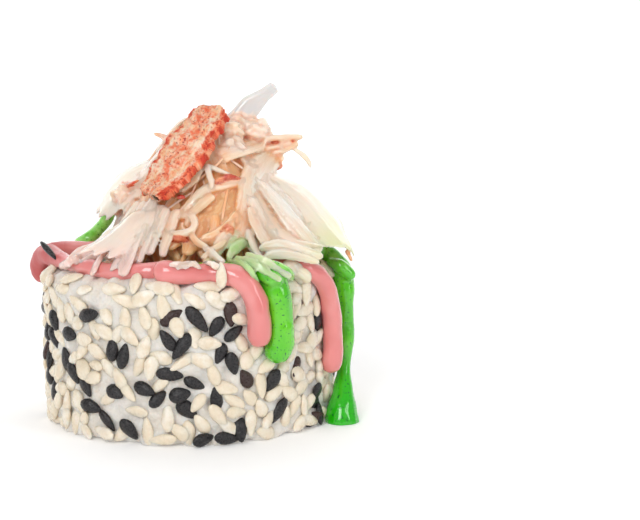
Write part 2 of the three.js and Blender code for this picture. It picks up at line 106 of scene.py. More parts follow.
def joinPieces(name, pieces):
    activate(*pieces)
    if len(pieces) > 1:
        bpy.ops.object.join()
    pieces[0].name = name
    return pieces[0]


def fuse(piece, voxel, smoothing):  # one closed skin over all that is joined in a piece
    applyModifier(piece, "REMESH", mode="VOXEL", voxel_size=voxel * mm)
    applyModifier(piece, "SMOOTH", factor=0.5, iterations=smoothing)


def cutAtFloor(piece):
    editPoints(piece, lambda point: True)
    bpy.ops.mesh.bisect(
        plane_co=(0, 0, 0), plane_no=(0, 0, 1), use_fill=True, clear_inner=True, threshold=0.001 * mm
    )
    deselectAll()


def meshPiece(name, points, faces):
    mesh = bpy.data.meshes.new(name)
    mesh.from_pydata((np.asarray(points) * mm).tolist(), [], faces)
    piece = bpy.data.objects.new(name, mesh)
    bpy.context.scene.collection.objects.link(piece)
    return piece


def pointValues(piece, name, values):  # a number at each point, for the materials
    made = piece.data.attributes.new(name, "FLOAT", "POINT")
    made.data.foreach_set("value", np.asarray(values, np.float32))


def pointVectors(piece, name, values):
    made = piece.data.attributes.new(name, "FLOAT_VECTOR", "POINT")
    made.data.foreach_set("vector", np.asarray(values, np.float32).ravel())


def pushOut(piece, amount):  # moves each point outward by a function of its place, both in mm
    points = piece.data.vertices
    places = np.empty((len(points), 3), np.float32)
    normals = np.empty((len(points), 3), np.float32)
    points.foreach_get("co", places.ravel())
    points.foreach_get("normal", normals.ravel())
    moves = np.array([amount(Vector(place)) for place in places / mm])
    points.foreach_set("co", (places + normals * moves[:, None] * mm).astype(np.float32).ravel())
    piece.data.update()


def settle(piece, material, slot, *nodes):  # the finished piece joins the roll
    piece.data.materials.clear()
    piece.data.materials.append(material)
    activate(piece)
    bpy.ops.object.shade_smooth()
    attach(piece, "root")
    if nodes:
        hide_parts(*nodes)
    print(piece.name, "done,", len(piece.data.polygons), "faces")


def templateFrom(piece):  # points in mm and faces of a modelled shape, which is then removed
    points = np.array([point.co for point in piece.data.vertices]) / mm
    faces = [tuple(face.vertices) for face in piece.data.polygons]
    bpy.data.objects.remove(piece)
    return points, faces


def copiesOf(template, frames):  # points and faces of many copies, one for each 4x4 frame in mm
    points, faces = template
    allPoints = np.vstack([points @ turn[:3, :3].T + turn[:3, 3] for turn in frames])
    count = len(points)
    allFaces = [tuple(i + count * n for i in face) for n in range(len(frames)) for face in faces]
    return allPoints, allFaces


def frameAt(place, along, out):  # z runs along, y out, x across
    out = out.normalized()
    along = (along - out * along.dot(out)).normalized()
    turn = np.eye(4)
    for column, axis in enumerate((along.cross(out), out, along, place)):
        turn[:3, column] = -axis if column == 0 else axis
    return turn


def roundPoint(angle, radius, height):
    return Vector((radius * math.cos(math.radians(angle)), radius * math.sin(math.radians(angle)), height))


# Shader maths

class Field:  # a value that changes over a surface
    def __init__(self, tree, socket):
        self.tree = tree
        self.socket = socket

    def node(self, kind, settings=None, values=None, output=0):
        made = self.tree.nodes.new(kind)
        for name, setting in (settings or {}).items():
            setattr(made, name, setting)
        for name, value in (values or {}).items():
            if isinstance(value, Field):
                self.tree.links.new(value.socket, made.inputs[name])
            else:
                made.inputs[name].default_value = value
        return Field(self.tree, made.outputs[output])

    def maths(self, operation, first, second=0.0):
        return self.node("ShaderNodeMath", {"operation": operation}, {0: first, 1: second})

    def __add__(self, other):
        return self.maths("ADD", self, other)

    def __radd__(self, other):
        return self.maths("ADD", other, self)

    def __sub__(self, other):
        return self.maths("SUBTRACT", self, other)

    def __rsub__(self, other):
        return self.maths("SUBTRACT", other, self)

    def __mul__(self, other):
        return self.maths("MULTIPLY", self, other)

    def __rmul__(self, other):
        return self.maths("MULTIPLY", other, self)

    def __truediv__(self, other):
        return self.maths("DIVIDE", self, other)

    def ramp(self, low, high):  # 0 below low, 1 above high, soft between
        span = {"From Min": low, "From Max": high, "Value": self}
        return self.node("ShaderNodeMapRange", {"interpolation_type": "SMOOTHSTEP"}, span)

    def mix(self, first, second):  # from one colour to another
        return self.node("ShaderNodeMix", {"data_type": "RGBA"}, {0: self, 6: first, 7: second}, 2)

    def attribute(self, name, output=2):  # a number at each point, or a vector with output 1
        return self.node("ShaderNodeAttribute", {"attribute_name": name}, None, output)

    def part(self, axis):
        return self.node("ShaderNodeSeparateXYZ", None, {"Vector": self}, axis)

    def noise(self, perMm, detail=3.0, roughness=0.55):
        values = {"Vector": self, "Scale": perMm / mm, "Detail": detail, "Roughness": roughness}
        return self.node("ShaderNodeTexNoise", None, values)

    def stretched(self, scale):
        return self.node("ShaderNodeMapping", None, {"Vector": self, "Scale": scale})

    def bump(self, height):  # in mm
        return self.node("ShaderNodeBump", None, {"Height": self, "Distance": height * mm})


def colour(red, green, blue):
    return (red, green, blue, 1.0)


def newFinish(name, constants, coordinates="Object"):
    material = bpy.data.materials.new(name)
    material.use_nodes = True
    tree = material.node_tree
    shader = tree.nodes["Principled BSDF"]
    for socket, value in constants.items():
        shader.inputs[socket].default_value = value
    place = Field(tree, tree.nodes.new("ShaderNodeTexCoord").outputs[coordinates])
    return material, shader, place


def feed(shader, **fields):  # the changing inputs, such as Base_Color
    for name, field in fields.items():
        field.tree.links.new(field.socket, shader.inputs[name.replace("_", " ")])


def moist(depth, weight, roughness):  # constants of soft wet food, with how deep light goes in mm
    return {
        "Subsurface Weight": weight,
        "Subsurface Radius": (1.0, 0.75, 0.6),
        "Subsurface Scale": depth * mm,
        "Roughness": roughness,
        "IOR": 1.4,
    }


# Camera at the photo's viewing angle
view = {
    "place": (0, -196.325, 48.912),
    "turn": 5.386,  # degrees to the right of the roll's axis
    "dip": 7.943,  # degrees below level
    "lens": 78.3,
    "sensor": 36,
    "frame": (640, 520),  # pixels
    "heapAway": (160, 225),  # nearest and farthest distance of the heap
}
cameraAngles = Euler((math.radians(90 - view["dip"]), 0, math.radians(-view["turn"])))
cameraTurn = cameraAngles.to_matrix()


def makeCamera():
    deselectAll()
    bpy.ops.object.camera_add(location=Vector(view["place"]) * mm, rotation=cameraAngles)
    camera = bpy.context.object
    camera.data.lens = view["lens"]
    camera.data.sensor_width = view["sensor"]
    camera.data.sensor_fit = "HORIZONTAL"
    camera.data.clip_start = 0.01
    bpy.context.scene.camera = camera


def photoWay(x, y):  # a direction in the picture, x to the right and y up, as a direction in the scene
    return cameraTurn @ Vector((x, y, 0))


def photoRay(x, y):  # from the camera through a pixel of the photo
    width, height = view["frame"]
    pixels = view["lens"] / view["sensor"] * width
    way = cameraTurn @ Vector((x - width / 2, height / 2 - y, -pixels))
    return Vector(view["place"]) * mm, way.normalized()


makeCamera()


# Rice
rice = {
    "rim": 2.6,  # rounding of the upper edge
    "foot": 1.3,
    "sides": 96,
    "sunk": 0.35,  # the ring under the grains
    "below": 0.15,  # cut off at the floor
    "grain": (5.4, 2.4, 2.3),  # length, width and thickness
    "grainCount": 900,
    "grainTries": 5400,
    "grainSpacing": 1.9,
    "lowest": 0.4,
    "clear": 1.2,  # kept free of grains round the hole
    "standOut": (0.15, 0.5),
    "voxel": 0.36,
    "smoothing": 3,
    "seed": 11,
}


def skinAt(angle, along):  # a point of the smooth roll and the way out, up the wall and over the rim
    wall = rollHeight - rice["rim"]
    lean = min(max((along - wall) / rice["rim"], 0), math.pi / 2)
    inward = max(along - wall - rice["rim"] * math.pi / 2, 0)
    radius = rollRadius - rice["rim"] * (1 - math.cos(lean)) - inward
    height = min(along, wall) + rice["rim"] * math.sin(lean)
    out = Vector((math.cos(lean) * math.cos(angle), math.cos(lean) * math.sin(angle), math.sin(lean)))
    return Vector((radius * math.cos(angle), radius * math.sin(angle), height)), out


def riceRing():
    radius = rollRadius - rice["sunk"]
    height = rollHeight - rice["sunk"]
    deselectAll()
    bottom = -rice["below"]
    bpy.ops.mesh.primitive_cylinder_add(
        vertices=rice["sides"], radius=radius * mm, depth=(height - bottom) * mm,
        location=(0, 0, (height + bottom) / 2 * mm),
    )
    ring = bpy.context.object
    bpy.ops.object.transform_apply(location=True, rotation=False, scale=False)
    ends = ((height, rice["rim"]), (bottom, rice["foot"]))
    for level, rounding in ends:
        editEdges(ring, lambda point: abs(point.z - level) < 0.01)
        bpy.ops.mesh.bevel(offset=rounding * mm, segments=4, affect="EDGES")
    for level, rounding in ends:
        editFaces(ring, lambda middle, normal: abs(middle.z - level) < 0.01 and abs(normal.z) > 0.9)
        bpy.ops.mesh.inset(thickness=(radius - rounding - holeRadius) * mm)
        bpy.ops.mesh.delete(type="FACE")
    editEdges(ring, lambda point: point.xy.length < holeRadius + 0.05)
    bpy.ops.mesh.bridge_edge_loops()
    deselectAll()
    return ring


def grainTemplate():
    deselectAll()
    bpy.ops.mesh.primitive_uv_sphere_add(segments=10, ring_count=8, radius=0.5 * mm)
    grain = bpy.context.object
    length, width, thickness = rice["grain"]
    editPoints(grain, lambda point: True)
    bpy.ops.transform.resize(value=(width, thickness, length))
    deselectAll()
    return templateFrom(grain)


def grainFrames():
    draw = random.Random(rice["seed"])
    inward = rollRadius - rice["rim"] - holeRadius - rice["clear"]
    topEnd = rollHeight + rice["rim"] * (math.pi / 2 - 1) + inward
    taken = []
    frames = []
    for _ in range(rice["grainTries"]):
        place, out = skinAt(draw.uniform(-math.pi, math.pi), draw.uniform(rice["lowest"], topEnd))
        turn = draw.uniform(0, math.pi)
        stand = draw.uniform(*rice["standOut"])
        if len(frames) >= rice["grainCount"]:
            break
        if any((place - other).length < rice["grainSpacing"] for other in taken):
            continue
        taken.append(place)
        level = Vector((-out.y, out.x, 0)).normalized() if out.xy.length > 0.1 else Vector((1, 0, 0))
        along = level * math.cos(turn) + out.cross(level) * math.sin(turn)
        frames.append(frameAt(place - out * (rice["grain"][2] / 2 - stand), along, out))
    return frames


def riceFinish():
    material, shader, place = newFinish("riceFinish", moist(1.6, 0.45, 0.36))
    cloudy = place.noise(0.22, 2.0).ramp(0.35, 0.65)
    grainy = place.noise(0.9, 3.0).ramp(0.3, 0.75)
    body = cloudy.mix(colour(0.72, 0.69, 0.65), colour(0.78, 0.71, 0.62))
    feed(
        shader,
        Base_Color=grainy.mix(body, colour(0.82, 0.77, 0.71)),
        Roughness=0.18 + 0.2 * place.noise(1.4),
        Normal=place.noise(1.8, 4.0).bump(0.16),
    )
    return material


def makeRice():
    grains = meshPiece("grains", *copiesOf(grainTemplate(), grainFrames()))
    body = joinPieces("riceBody", [riceRing(), grains])
    fuse(body, rice["voxel"], rice["smoothing"])
    cutAtFloor(body)
    settle(body, riceFinish(), "rice", "rice")
    return body


riceBody = makeRice()


def touchTree(*pieces):  # for finding where a line meets some pieces
    points = []
    faces = []
    for piece in pieces:
        start = len(points)
        points.extend(point.co.copy() for point in piece.data.vertices)
        faces.extend([start + i for i in face.vertices] for face in piece.data.polygons)
    return BVHTree.FromPolygons(points, faces)


riceTree = touchTree(riceBody)


# Sauces. Each stop is an angle in degrees, a radius, a height and half a width.
pinkSauce = {
    "front": [
        (-65.5, 21.3, 14.2, 1.62), (-66, 21.4, 16.6, 1.66), (-67.5, 21.3, 19.4, 1.6), (-71, 20.4, 21.8, 1.52),
        (-78, 18.8, 22.4, 1.4), (-88, 18.4, 22.4, 1.35), (-96, 18.7, 22.5, 1.4), (-100.5, 18.8, 22.7, 1.5),
    ],
    "left": [
        (-96, 15.6, 22.2, 1.1), (-104, 16.7, 22.3, 1.3), (-116, 17.4, 22.3, 1.35), (-131, 17.5, 22.3, 1.15),
        (-150, 17.8, 22.4, 1.1), (-169, 18.7, 22.7, 1.3), (-182, 20.2, 22.4, 1.6), (-188, 21.2, 20.9, 1.75),
        (-190, 21.3, 19.6, 1.65),
    ],
    "inward": [(-184, 19.4, 22.9, 1.2), (-190, 16.5, 22.9, 1.3), (-196, 13.5, 22.9, 1.15)],
    "side": [
        (-53, 14.5, 22.7, 1.0), (-48, 17.2, 22.8, 1.15), (-39, 20.0, 22.0, 1.3), (-31, 21.3, 19.4, 1.45),
        (-26.6, 21.5, 15, 1.46), (-25.4, 21.5, 10.6, 1.55), (-25.4, 21.4, 8.4, 1.52),
    ],
    "back": [
        (58, 12.5, 22.6, 1.1), (48, 16.5, 22.8, 1.3), (40, 19.8, 22.2, 1.45), (36, 21.2, 19.4, 1.5),
        (34, 21.3, 15.5, 1.55), (34, 21.2, 13.6, 1.5),
    ],
    "voxel": 0.24,
    "smoothing": 3,
    "swell": 0.32,  # thicker and thinner places
}
greenSauce = {
    "front": [
        (-72, 12.8, 22.3, 1.0), (-66, 16, 22.4, 1.3), (-60.5, 19.4, 22.2, 1.7), (-58.5, 21.1, 20, 1.86),
        (-57, 21.3, 16, 1.8), (-57, 21.3, 13.2, 1.95), (-57.8, 21.2, 12, 1.92),
    ],
    "stream": [
        (-4, 14, 22.6, 1.3), (-7, 17.5, 22.7, 1.6), (-10, 20.2, 22, 1.6), (-12, 21.8, 19.4, 1.4),
        (-13.5, 22.1, 12, 1.25), (-16, 22.2, 6.2, 1.05), (-19, 22.3, 4, 1.45), (-21.5, 22.5, 2, 2.15),
        (-23, 22.6, 0.2, 2.5), (-23, 22.6, -1.5, 2.35),
    ],
    "back": [
        (158, 16, 22.7, 1.4), (143, 16.6, 22.7, 1.6), (125, 17, 22.7, 1.5), (108, 18.4, 22.6, 1.6),
        (98, 20.4, 21.6, 1.6), (95, 21.3, 18.4, 1.55), (94, 21.3, 13.4, 1.7), (94, 21.2, 12, 1.6),
    ],
    "rise": [
        (161, 16.6, 23.2, 1.3), (158, 15.6, 24.2, 1.15), (158.8, 13.8, 25.8, 0.9), (159.2, 12.7, 27.1, 0.8),
        (160.4, 11.9, 28.3, 0.7),
    ],
    "voxel": 0.24,
    "smoothing": 5,
    "swell": 0.3,
}
ropeNames = ("front", "left", "inward", "side", "back", "stream", "rise")
# Rounded ends: how far past the last stop, and how thick, as shares of its size
ropeEnds = [(0.62, 0.78), (0.94, 0.3)]
# Smears of green on the top: pixel x and y, and half a width in mm
greenSmears = {
    "sunk": 0.35,
    "lines": [
        [(234, 262, 0.6), (247, 266, 0.8), (262, 272, 0.85), (277, 281, 0.75)],
        [(248, 261, 0.6), (263, 265, 0.8), (279, 271, 0.8), (290, 280, 0.6)],
        [(242, 266, 0.5), (257, 273, 0.7), (270, 282, 0.7)],
        [(330, 262, 0.6), (339, 267, 0.9), (347, 275, 0.8)],
        [(152, 254, 0.5), (164, 256, 0.7), (176, 255, 0.5)],
        [(196, 255, 0.5), (206, 257, 0.8), (214, 256, 0.5)],
    ],
}
# Dabs of green: place, half the sizes, and how uneven they are
greenDabs = [
    ((7.2, -15.6, 22.9), (2.6, 1.6, 0.9), 0.5), ((-3.2, -14.6, 22.3), (1.9, 1.1, 0.8), 0.5),
    ((1.8, -14.2, 22.4), (1.5, 1.0, 0.9), 0.5), ((17.4, -2.6, 23.3), (2.0, 2.4, 0.9), 0.5),
    ((-13.6, 8.2, 23.0), (2.2, 1.6, 1.2), 0.4),
]


def ropeStops(stops):  # the stops with two more at each end, which round it off
    places = [(roundPoint(*stop[:3]), stop[3]) for stop in stops]
    for _ in range(2):
        (tip, size), (before, _) = places[-1], places[-2]
        way = (tip - before).normalized()
        places += [(tip + way * size * past, size * share) for past, share in ropeEnds]
        places.reverse()
    return places


def rope(stops):
    deselectAll()
    bpy.ops.curve.primitive_bezier_curve_add()
    piece = bpy.context.object
    curve = piece.data
    curve.bevel_depth = mm
    curve.bevel_resolution = 5
    curve.resolution_u = 8
    curve.use_fill_caps = True
    places = ropeStops(stops)
    spline = curve.splines[0]
    spline.bezier_points.add(len(places) - 2)
    for point, (place, size) in zip(spline.bezier_points, places):
        point.co = place * mm
        point.radius = size
        point.handle_left_type = "AUTO"
        point.handle_right_type = "AUTO"
    bpy.ops.object.convert(target="MESH")
    return piece


def smears(tree):
    made = []
    for line in greenSmears["lines"]:
        places = []
        for x, y, size in line:
            place, normal, _, _ = tree.ray_cast(*photoRay(x, y))
            place = place / mm + normal * (size - greenSmears["sunk"])
            places.append((math.degrees(math.atan2(place.y, place.x)), place.xy.length, place.z, size))
        made.append(rope(places))
    return made


def ropesOf(sauce):
    return [rope(sauce[name]) for name in ropeNames if name in sauce]


def blob(place, sizes, rough, seed):  # an uneven dab of sauce
    deselectAll()
    bpy.ops.mesh.primitive_ico_sphere_add(subdivisions=4, radius=mm)
    piece = bpy.context.object
    shift = Vector((seed * 3.7, seed * 1.9, seed * 5.3))
    for point in piece.data.vertices:
        way = point.co / mm
        swell = 1 + rough * noise.noise(way * 2.2 + shift) + 0.5 * rough * noise.noise(way * 5 + shift)
        point.co = (Vector(place) + Vector([a * b for a, b in zip(way, sizes)]) * swell) * mm
    return piece


def pinkFinish():
    material, shader, place = newFinish("pinkFinish", moist(0.7, 0.2, 0.2))
    pale = place.noise(0.16, 2.0).ramp(0.4, 0.7)
    thick = (0 - place.part(0) / mm).ramp(16, 20)  # the lobe on the left: painted shade, partly the deeper colour of thick sauce
    shader.inputs["Coat Roughness"].default_value = 0.06
    shader.inputs["Coat IOR"].default_value = 1.45
    body = pale.mix(colour(0.75, 0.225, 0.215), colour(0.8, 0.29, 0.275))
    feed(
        shader,
        # painted shade: the lobe on the left is darkened, partly for the thick sauce
        Base_Color=thick.mix(body, colour(0.52, 0.09, 0.085)),
        Coat_Weight=1 - 0.85 * thick,
        Roughness=0.1 + 0.14 * place.noise(0.5) + 0.3 * thick,
        Normal=place.noise(0.7, 2.0).bump(0.12),
    )
    return material


def greenFinish():
    material, shader, place = newFinish("greenFinish", moist(0.9, 0.2, 0.2))
    deep = place.noise(0.2, 2.0).ramp(0.35, 0.7)
    speck = place.noise(3.4, 1.0).ramp(0.66, 0.7)
    low = (place.part(2) / mm).ramp(2, 14)
    fresh = low.mix(colour(0.015, 0.46, 0.002), deep.mix(colour(0.07, 0.5, 0.005), colour(0.13, 0.61, 0.01)))
    thin = (place.part(2) / mm).ramp(20, 24) * place.noise(0.5, 3.0).ramp(0.3, 0.7)
    fresh = thin.mix(fresh, colour(0.34, 0.74, 0.16))
    shader.inputs["Coat Weight"].default_value = 1
    shader.inputs["Coat Roughness"].default_value = 0.06
    shader.inputs["Coat IOR"].default_value = 1.45
    feed(
        shader,
        Base_Color=speck.mix(fresh, colour(0.004, 0.13, 0.025)),
        Roughness=0.1 + 0.14 * place.noise(0.5),
        Normal=(place.noise(0.7, 2.0) + 0.3 * speck).bump(0.12),
    )
    return material


def unsteady(piece, swell):  # thicker and thinner places, as poured
    pushOut(piece, lambda place: swell * (noise.noise(place * 0.22) + 0.3 * noise.noise(place * 0.6)))


def makeSauces():
    pink = joinPieces("pinkSauce", ropesOf(pinkSauce))
    fuse(pink, pinkSauce["voxel"], pinkSauce["smoothing"])
    unsteady(pink, pinkSauce["swell"])
    settle(pink, pinkFinish(), "pink_sauce", "pink_sauce_long", "pink_sauce_side", "pink_sauce_back")
    dabs = [blob(*dab, seed) for seed, dab in enumerate(greenDabs, 1)]
    green = joinPieces("greenSauce", ropesOf(greenSauce) + dabs)
    green = joinPieces("greenSauce", [green] + smears(touchTree(riceBody, pink, green)))
    fuse(green, greenSauce["voxel"], greenSauce["smoothing"])
    unsteady(green, greenSauce["swell"])
    cutAtFloor(green)
    settle(green, greenFinish(), "green_sauce", "green_sauce_front", "green_sauce_stream", "green_sauce_back")
    return pink, green


pinkPiece, greenPiece = makeSauces()


# Sesame. Black seeds on the seen side lie where the photo has them: pixel x and y, and where the
# point aims, in degrees from the right.
sesame = {
    "size": (3.4, 1.85, 1.05),  # length, width and thickness
    "vary": 0.1,
    "sunk": 0.3,
    "tilt": 0.16,
    "follow": 0.45,  # how much they lie as the grains do
    "tries": 14000,
    "lowest": 0.7,
    "underTop": 0.4,
    "offSauce": 0.5,
    "closeness": 0.74,  # 1 leaves no overlap
    "blackShare": 0.22,
    "seenTo": -2,  # y behind which black seeds are scattered too
    "blunt": 1.08,  # width at the blunt end, up to the waist, and how fast it narrows from there
    "waist": -0.18,
    "taper": 0.62,
    # patches with few seeds: angle, height, half the width and height, and the share left out
    "bare": [(-108, 7.0, 7.5, 5.5, 0.62), (-124, 19.2, 7.5, 2.8, 0.85), (-98, 20.4, 4, 1.6, 0.7)],
    "seed": 4,
}
blackSpots = [
    (90, 315, 10), (56, 321, -60), (50, 330, 100), (71, 334, 0), (56, 338, -50), (49, 348, 95),
    (52, 358, -80), (52, 373, 60), (68, 359, 100), (75, 373, -55), (87, 386, -35), (57, 390, 65),
    (116, 392, -28), (92, 406, -15), (108, 420, -35), (130, 429, -55), (124, 356, 75), (172, 317, 32),
    (197, 319, -50), (168, 340, 125), (182, 346, 235), (170, 374, -8), (145, 389, -20), (158, 399, 45),
    (180, 395, 12), (194, 383, -25), (187, 409, -40), (203, 442, 0), (216, 326, 235), (230, 314, -85),
    (233, 333, 35), (220, 353, 245), (232, 363, -75), (245, 378, 130), (216, 398, 105), (272, 380, 235),
    (295, 365, 215), (278, 410, 225), (239, 429, -80), (315, 392, -60), (313, 402, -40), (316, 322, -30),
    (312, 425, 5), (318, 413, 85), (226, 440, -10), (113, 349, 88),
]

lobeSeed = (51, 253, -48)  # black, on the pink lobe
ropeSeed = (222, 275, 92)  # white, on the pink rope


def seedTemplate():  # blunt at one end, pointed at the other, its length along z
    deselectAll()
    bpy.ops.mesh.primitive_uv_sphere_add(segments=10, ring_count=8, radius=0.5 * mm)
    seed = bpy.context.object
    rings = sorted({round(point.co.z / mm, 3) for point in seed.data.vertices})
    for height in rings[1:-1]:
        slim = sesame["blunt"] - sesame["taper"] * max(height - sesame["waist"], 0)
        editPoints(seed, lambda point: abs(point.z - height) < 0.01)
        bpy.ops.transform.resize(value=(slim, slim, 1))
    length, width, thickness = sesame["size"]
    editPoints(seed, lambda point: True)
    bpy.ops.transform.resize(value=(width, thickness, length))
    deselectAll()
    return templateFrom(seed)


def seedReachTowards(turn, angle):  # half the size of a seed towards an angle
    length, width, _ = sesame["size"]
    return length * width / 2 / math.hypot(width * math.cos(angle - turn), length * math.sin(angle - turn))


class Wall:  # the seeds laid so far, on the wall rolled out flat
    def __init__(self):
        self.laid = []

    def hasRoom(self, across, up, turn, closeness):
        fullTurn = 2 * math.pi * rollRadius
        for x, y, otherTurn in self.laid:
            dx = (across - x + fullTurn / 2) % fullTurn - fullTurn / 2
            dy = up - y
            if abs(dx) > 4 or abs(dy) > 4:
                continue
            angle = math.atan2(dy, dx)
            reach = seedReachTowards(turn, angle) + seedReachTowards(otherTurn, angle)
            if math.hypot(dx, dy) < closeness * reach:
                return False
        return True


def sauceLines():  # points along the sauces, with their sizes
    return [
        (roundPoint(*stop[:3]).lerp(roundPoint(*following[:3]), step / 5), stop[3])
        for sauce in (pinkSauce, greenSauce)
        for name in ropeNames
        for stop, following in zip(sauce.get(name, []), sauce.get(name, [])[1:])
        for step in range(5)
    ]


def onRice(start, way):  # where a line meets the rice, in mm, with the way out there
    place, normal, _, _ = riceTree.ray_cast(start, way)
    return (place / mm, normal) if place else (None, None)


def seedFrame(draw, place, normal, along):
    lift = sesame["size"][2] / 2 - sesame["sunk"]
    tilt = Vector([draw.gauss(0, sesame["tilt"]) for _ in range(3)])
    turn = frameAt(place + normal * lift, along, normal + tilt)
    sizes = [1 + draw.gauss(0, sesame["vary"]) for _ in range(3)]
    turn[:3, :3] *= np.clip(sizes, 0.8, 1.25)
    length, width, thickness = sesame["size"]
    below = np.linalg.norm(turn[2, :3] * (width / 2, thickness / 2, length / 2))
    turn[2, 3] = max(turn[2, 3], below)  # none reaches under the floor
    return turn


def softened(normal, out):  # evens out the bumps of the grains
    return (normal * sesame["follow"] + out * (1 - sesame["follow"])).normalized()


def isBare(across, up, chance):
    for angle, height, wide, high, share in sesame["bare"]:
        away = math.hypot((across - math.radians(angle) * rollRadius) / wide, (up - height) / high)
        if away < 1 and chance < share:
            return True
    return False


def spread(draw, wall, black, white):
    lines = sauceLines()
    for _ in range(sesame["tries"]):
        angle = draw.uniform(-math.pi, math.pi)
        up = draw.uniform(sesame["lowest"], rollHeight - sesame["underTop"])
        turn = draw.uniform(0, 2 * math.pi)
        chance = draw.random()
        across = angle * rollRadius
        smooth, out = skinAt(angle, up)
        if isBare(across, up, chance):
            continue
        if any((smooth - place).length < size + sesame["offSauce"] for place, size in lines):
            continue
        if not wall.hasRoom(across, up, turn, sesame["closeness"]):
            continue
        place, normal = onRice((smooth + out * 3) * mm, -out)
        if place is None:
            continue
        wall.laid.append((across, up, turn))
        level = Vector((-math.sin(angle), math.cos(angle), 0))
        along = level * math.cos(turn) + out.cross(level) * -math.sin(turn)
        hidden = place.y > sesame["seenTo"]
        isBlack = hidden and draw.random() < sesame["blackShare"]
        (black if isBlack else white).append(seedFrame(draw, place, softened(normal, out), along))


def seedShades(draw, count, points):
    return np.repeat([draw.random() for _ in range(count)], points)


def whiteSeedFinish():
    material, shader, place = newFinish("whiteSeedFinish", moist(0.6, 0.3, 0.38))
    shade = place.attribute("shade")
    cream = shade.mix(colour(0.82, 0.73, 0.58), colour(0.89, 0.84, 0.75))
    feed(
        shader,
        Base_Color=place.noise(0.8, 3.0).ramp(0.3, 0.75).mix(colour(0.78, 0.67, 0.51), cream),
        Roughness=0.18 + 0.2 * place.noise(2.0),
        Normal=place.noise(2.4, 3.0).bump(0.05),
    )
    return material


def blackSeedFinish():
    material, shader, place = newFinish("blackSeedFinish", {"Roughness": 0.5, "IOR": 1.45})
    shade = place.attribute("shade")
    dark = shade.ramp(0.62, 1.0).mix(colour(0.014, 0.013, 0.014), colour(0.045, 0.018, 0.014))
    pitted = place.noise(3.2, 4.0)
    feed(
        shader,
        Base_Color=pitted.ramp(0.5, 0.85).mix(dark, colour(0.06, 0.045, 0.045)),
        Roughness=0.16 + 0.26 * pitted,
        Normal=pitted.bump(0.12),
    )
    return material


def stuckSeed(draw, tree, x, y, aim):  # a seed that lies on a sauce
    place, normal, _, _ = tree.ray_cast(*photoRay(x, y))
    along = photoWay(math.cos(math.radians(aim)), math.sin(math.radians(aim)))
    return seedFrame(draw, place / mm, normal - 2 * photoRay(x, y)[1], along)


def edgeSeed(draw, tree, x, y, aim):  # the same, seen from its thin side
    turn = stuckSeed(draw, tree, x, y, aim)
    turn[:3, 3] += turn[:3, 1] * 0.5
    turn[:3, [0, 1]] = turn[:3, [1, 0]] * (1, -1)
    return turn


def makeSesame():
    draw = random.Random(sesame["seed"])
    wall = Wall()
    black = []
    white = []
    for x, y, aim in blackSpots:
        place, normal = onRice(*photoRay(x, y))
        if place is None:
            continue
        out = Vector((place.x, place.y, 0)).normalized()
        along = photoWay(math.cos(math.radians(aim)), math.sin(math.radians(aim)))
        black.append(seedFrame(draw, place, softened(normal, out), along))
        angle = math.atan2(place.y, place.x)
        level = Vector((-math.sin(angle), math.cos(angle), 0))
        wall.laid.append((angle * rollRadius, place.z, math.atan2(along.z, along.dot(level))))
    spread(draw, wall, black, white)
    pinkTree = touchTree(pinkPiece)
    black.append(edgeSeed(draw, pinkTree, *lobeSeed))
    white.append(stuckSeed(draw, pinkTree, *ropeSeed))
    template = seedTemplate()
    for name, frames, finish, slot in (
        ("whiteSesame", white, whiteSeedFinish(), "white_sesame"),
        ("blackSesame", black, blackSeedFinish(), "black_sesame"),
    ):
        piece = meshPiece(name, *copiesOf(template, frames))
        pointValues(piece, "shade", seedShades(draw, len(frames), len(template[0])))
        settle(piece, finish, slot)


makeSesame()


# Crab heap
heap = {
    "middle": (2, 0.6, 24),
    "foot": rollHeight + 0.3,
    "profile": [(13.4, 0), (12.6, 4), (9.4, 10), (5.6, 15.5), (2.6, 18.4)],  # radius and height of the heap
    "crown": 0.6,
    "coreShare": 0.9,  # of the core under the shreds
    "coreSides": 48,
    "coreVoxel": 0.5,
    "coreLumps": (0.8, 0.3),
    "looseSweep": 70,  # degrees
    "looseReach": 15.5,
    "rows": 28,
    "sides": 26,  # points round a shred
    "voxel": 0.2,
    "mostFaces": 190000,  # triangles
    "drapeRows": 60,
    "drapeSides": 56,
    "fanThick": 0.45,
    "laidLift": 0.45,
    "hollowReach": 30,  # rounds of smoothing that hollows are measured from
    "paintedShadeMiddle": (1, -9, 30),  # middle of the side where warm shade is painted into the tint
    "paintedShadeReach": 9,
    "seed": 17,
}
# The stick on top. Routes, widths and thickness are in mm. Tint goes from clear to peach, and is grey
# below 0, skin is where it is red and herb where it is green. Tint is partly painted shade: peach stands
# for painted warm shade as well as the meat's colour, and the stick's grey is partly painted shade.
stick = dict(
    route=[(5.0, 1.6, 39.6), (8.2, 1.6, 42.6), (12.4, 2, 46.2)], widths=(3.6, 3.0, 1.6), thick=1.5,
    tintAndShade=-0.6, ends=0.04, flat=0.5, cup=0, twist=0, face=(0.2, -1, 0.3),
)
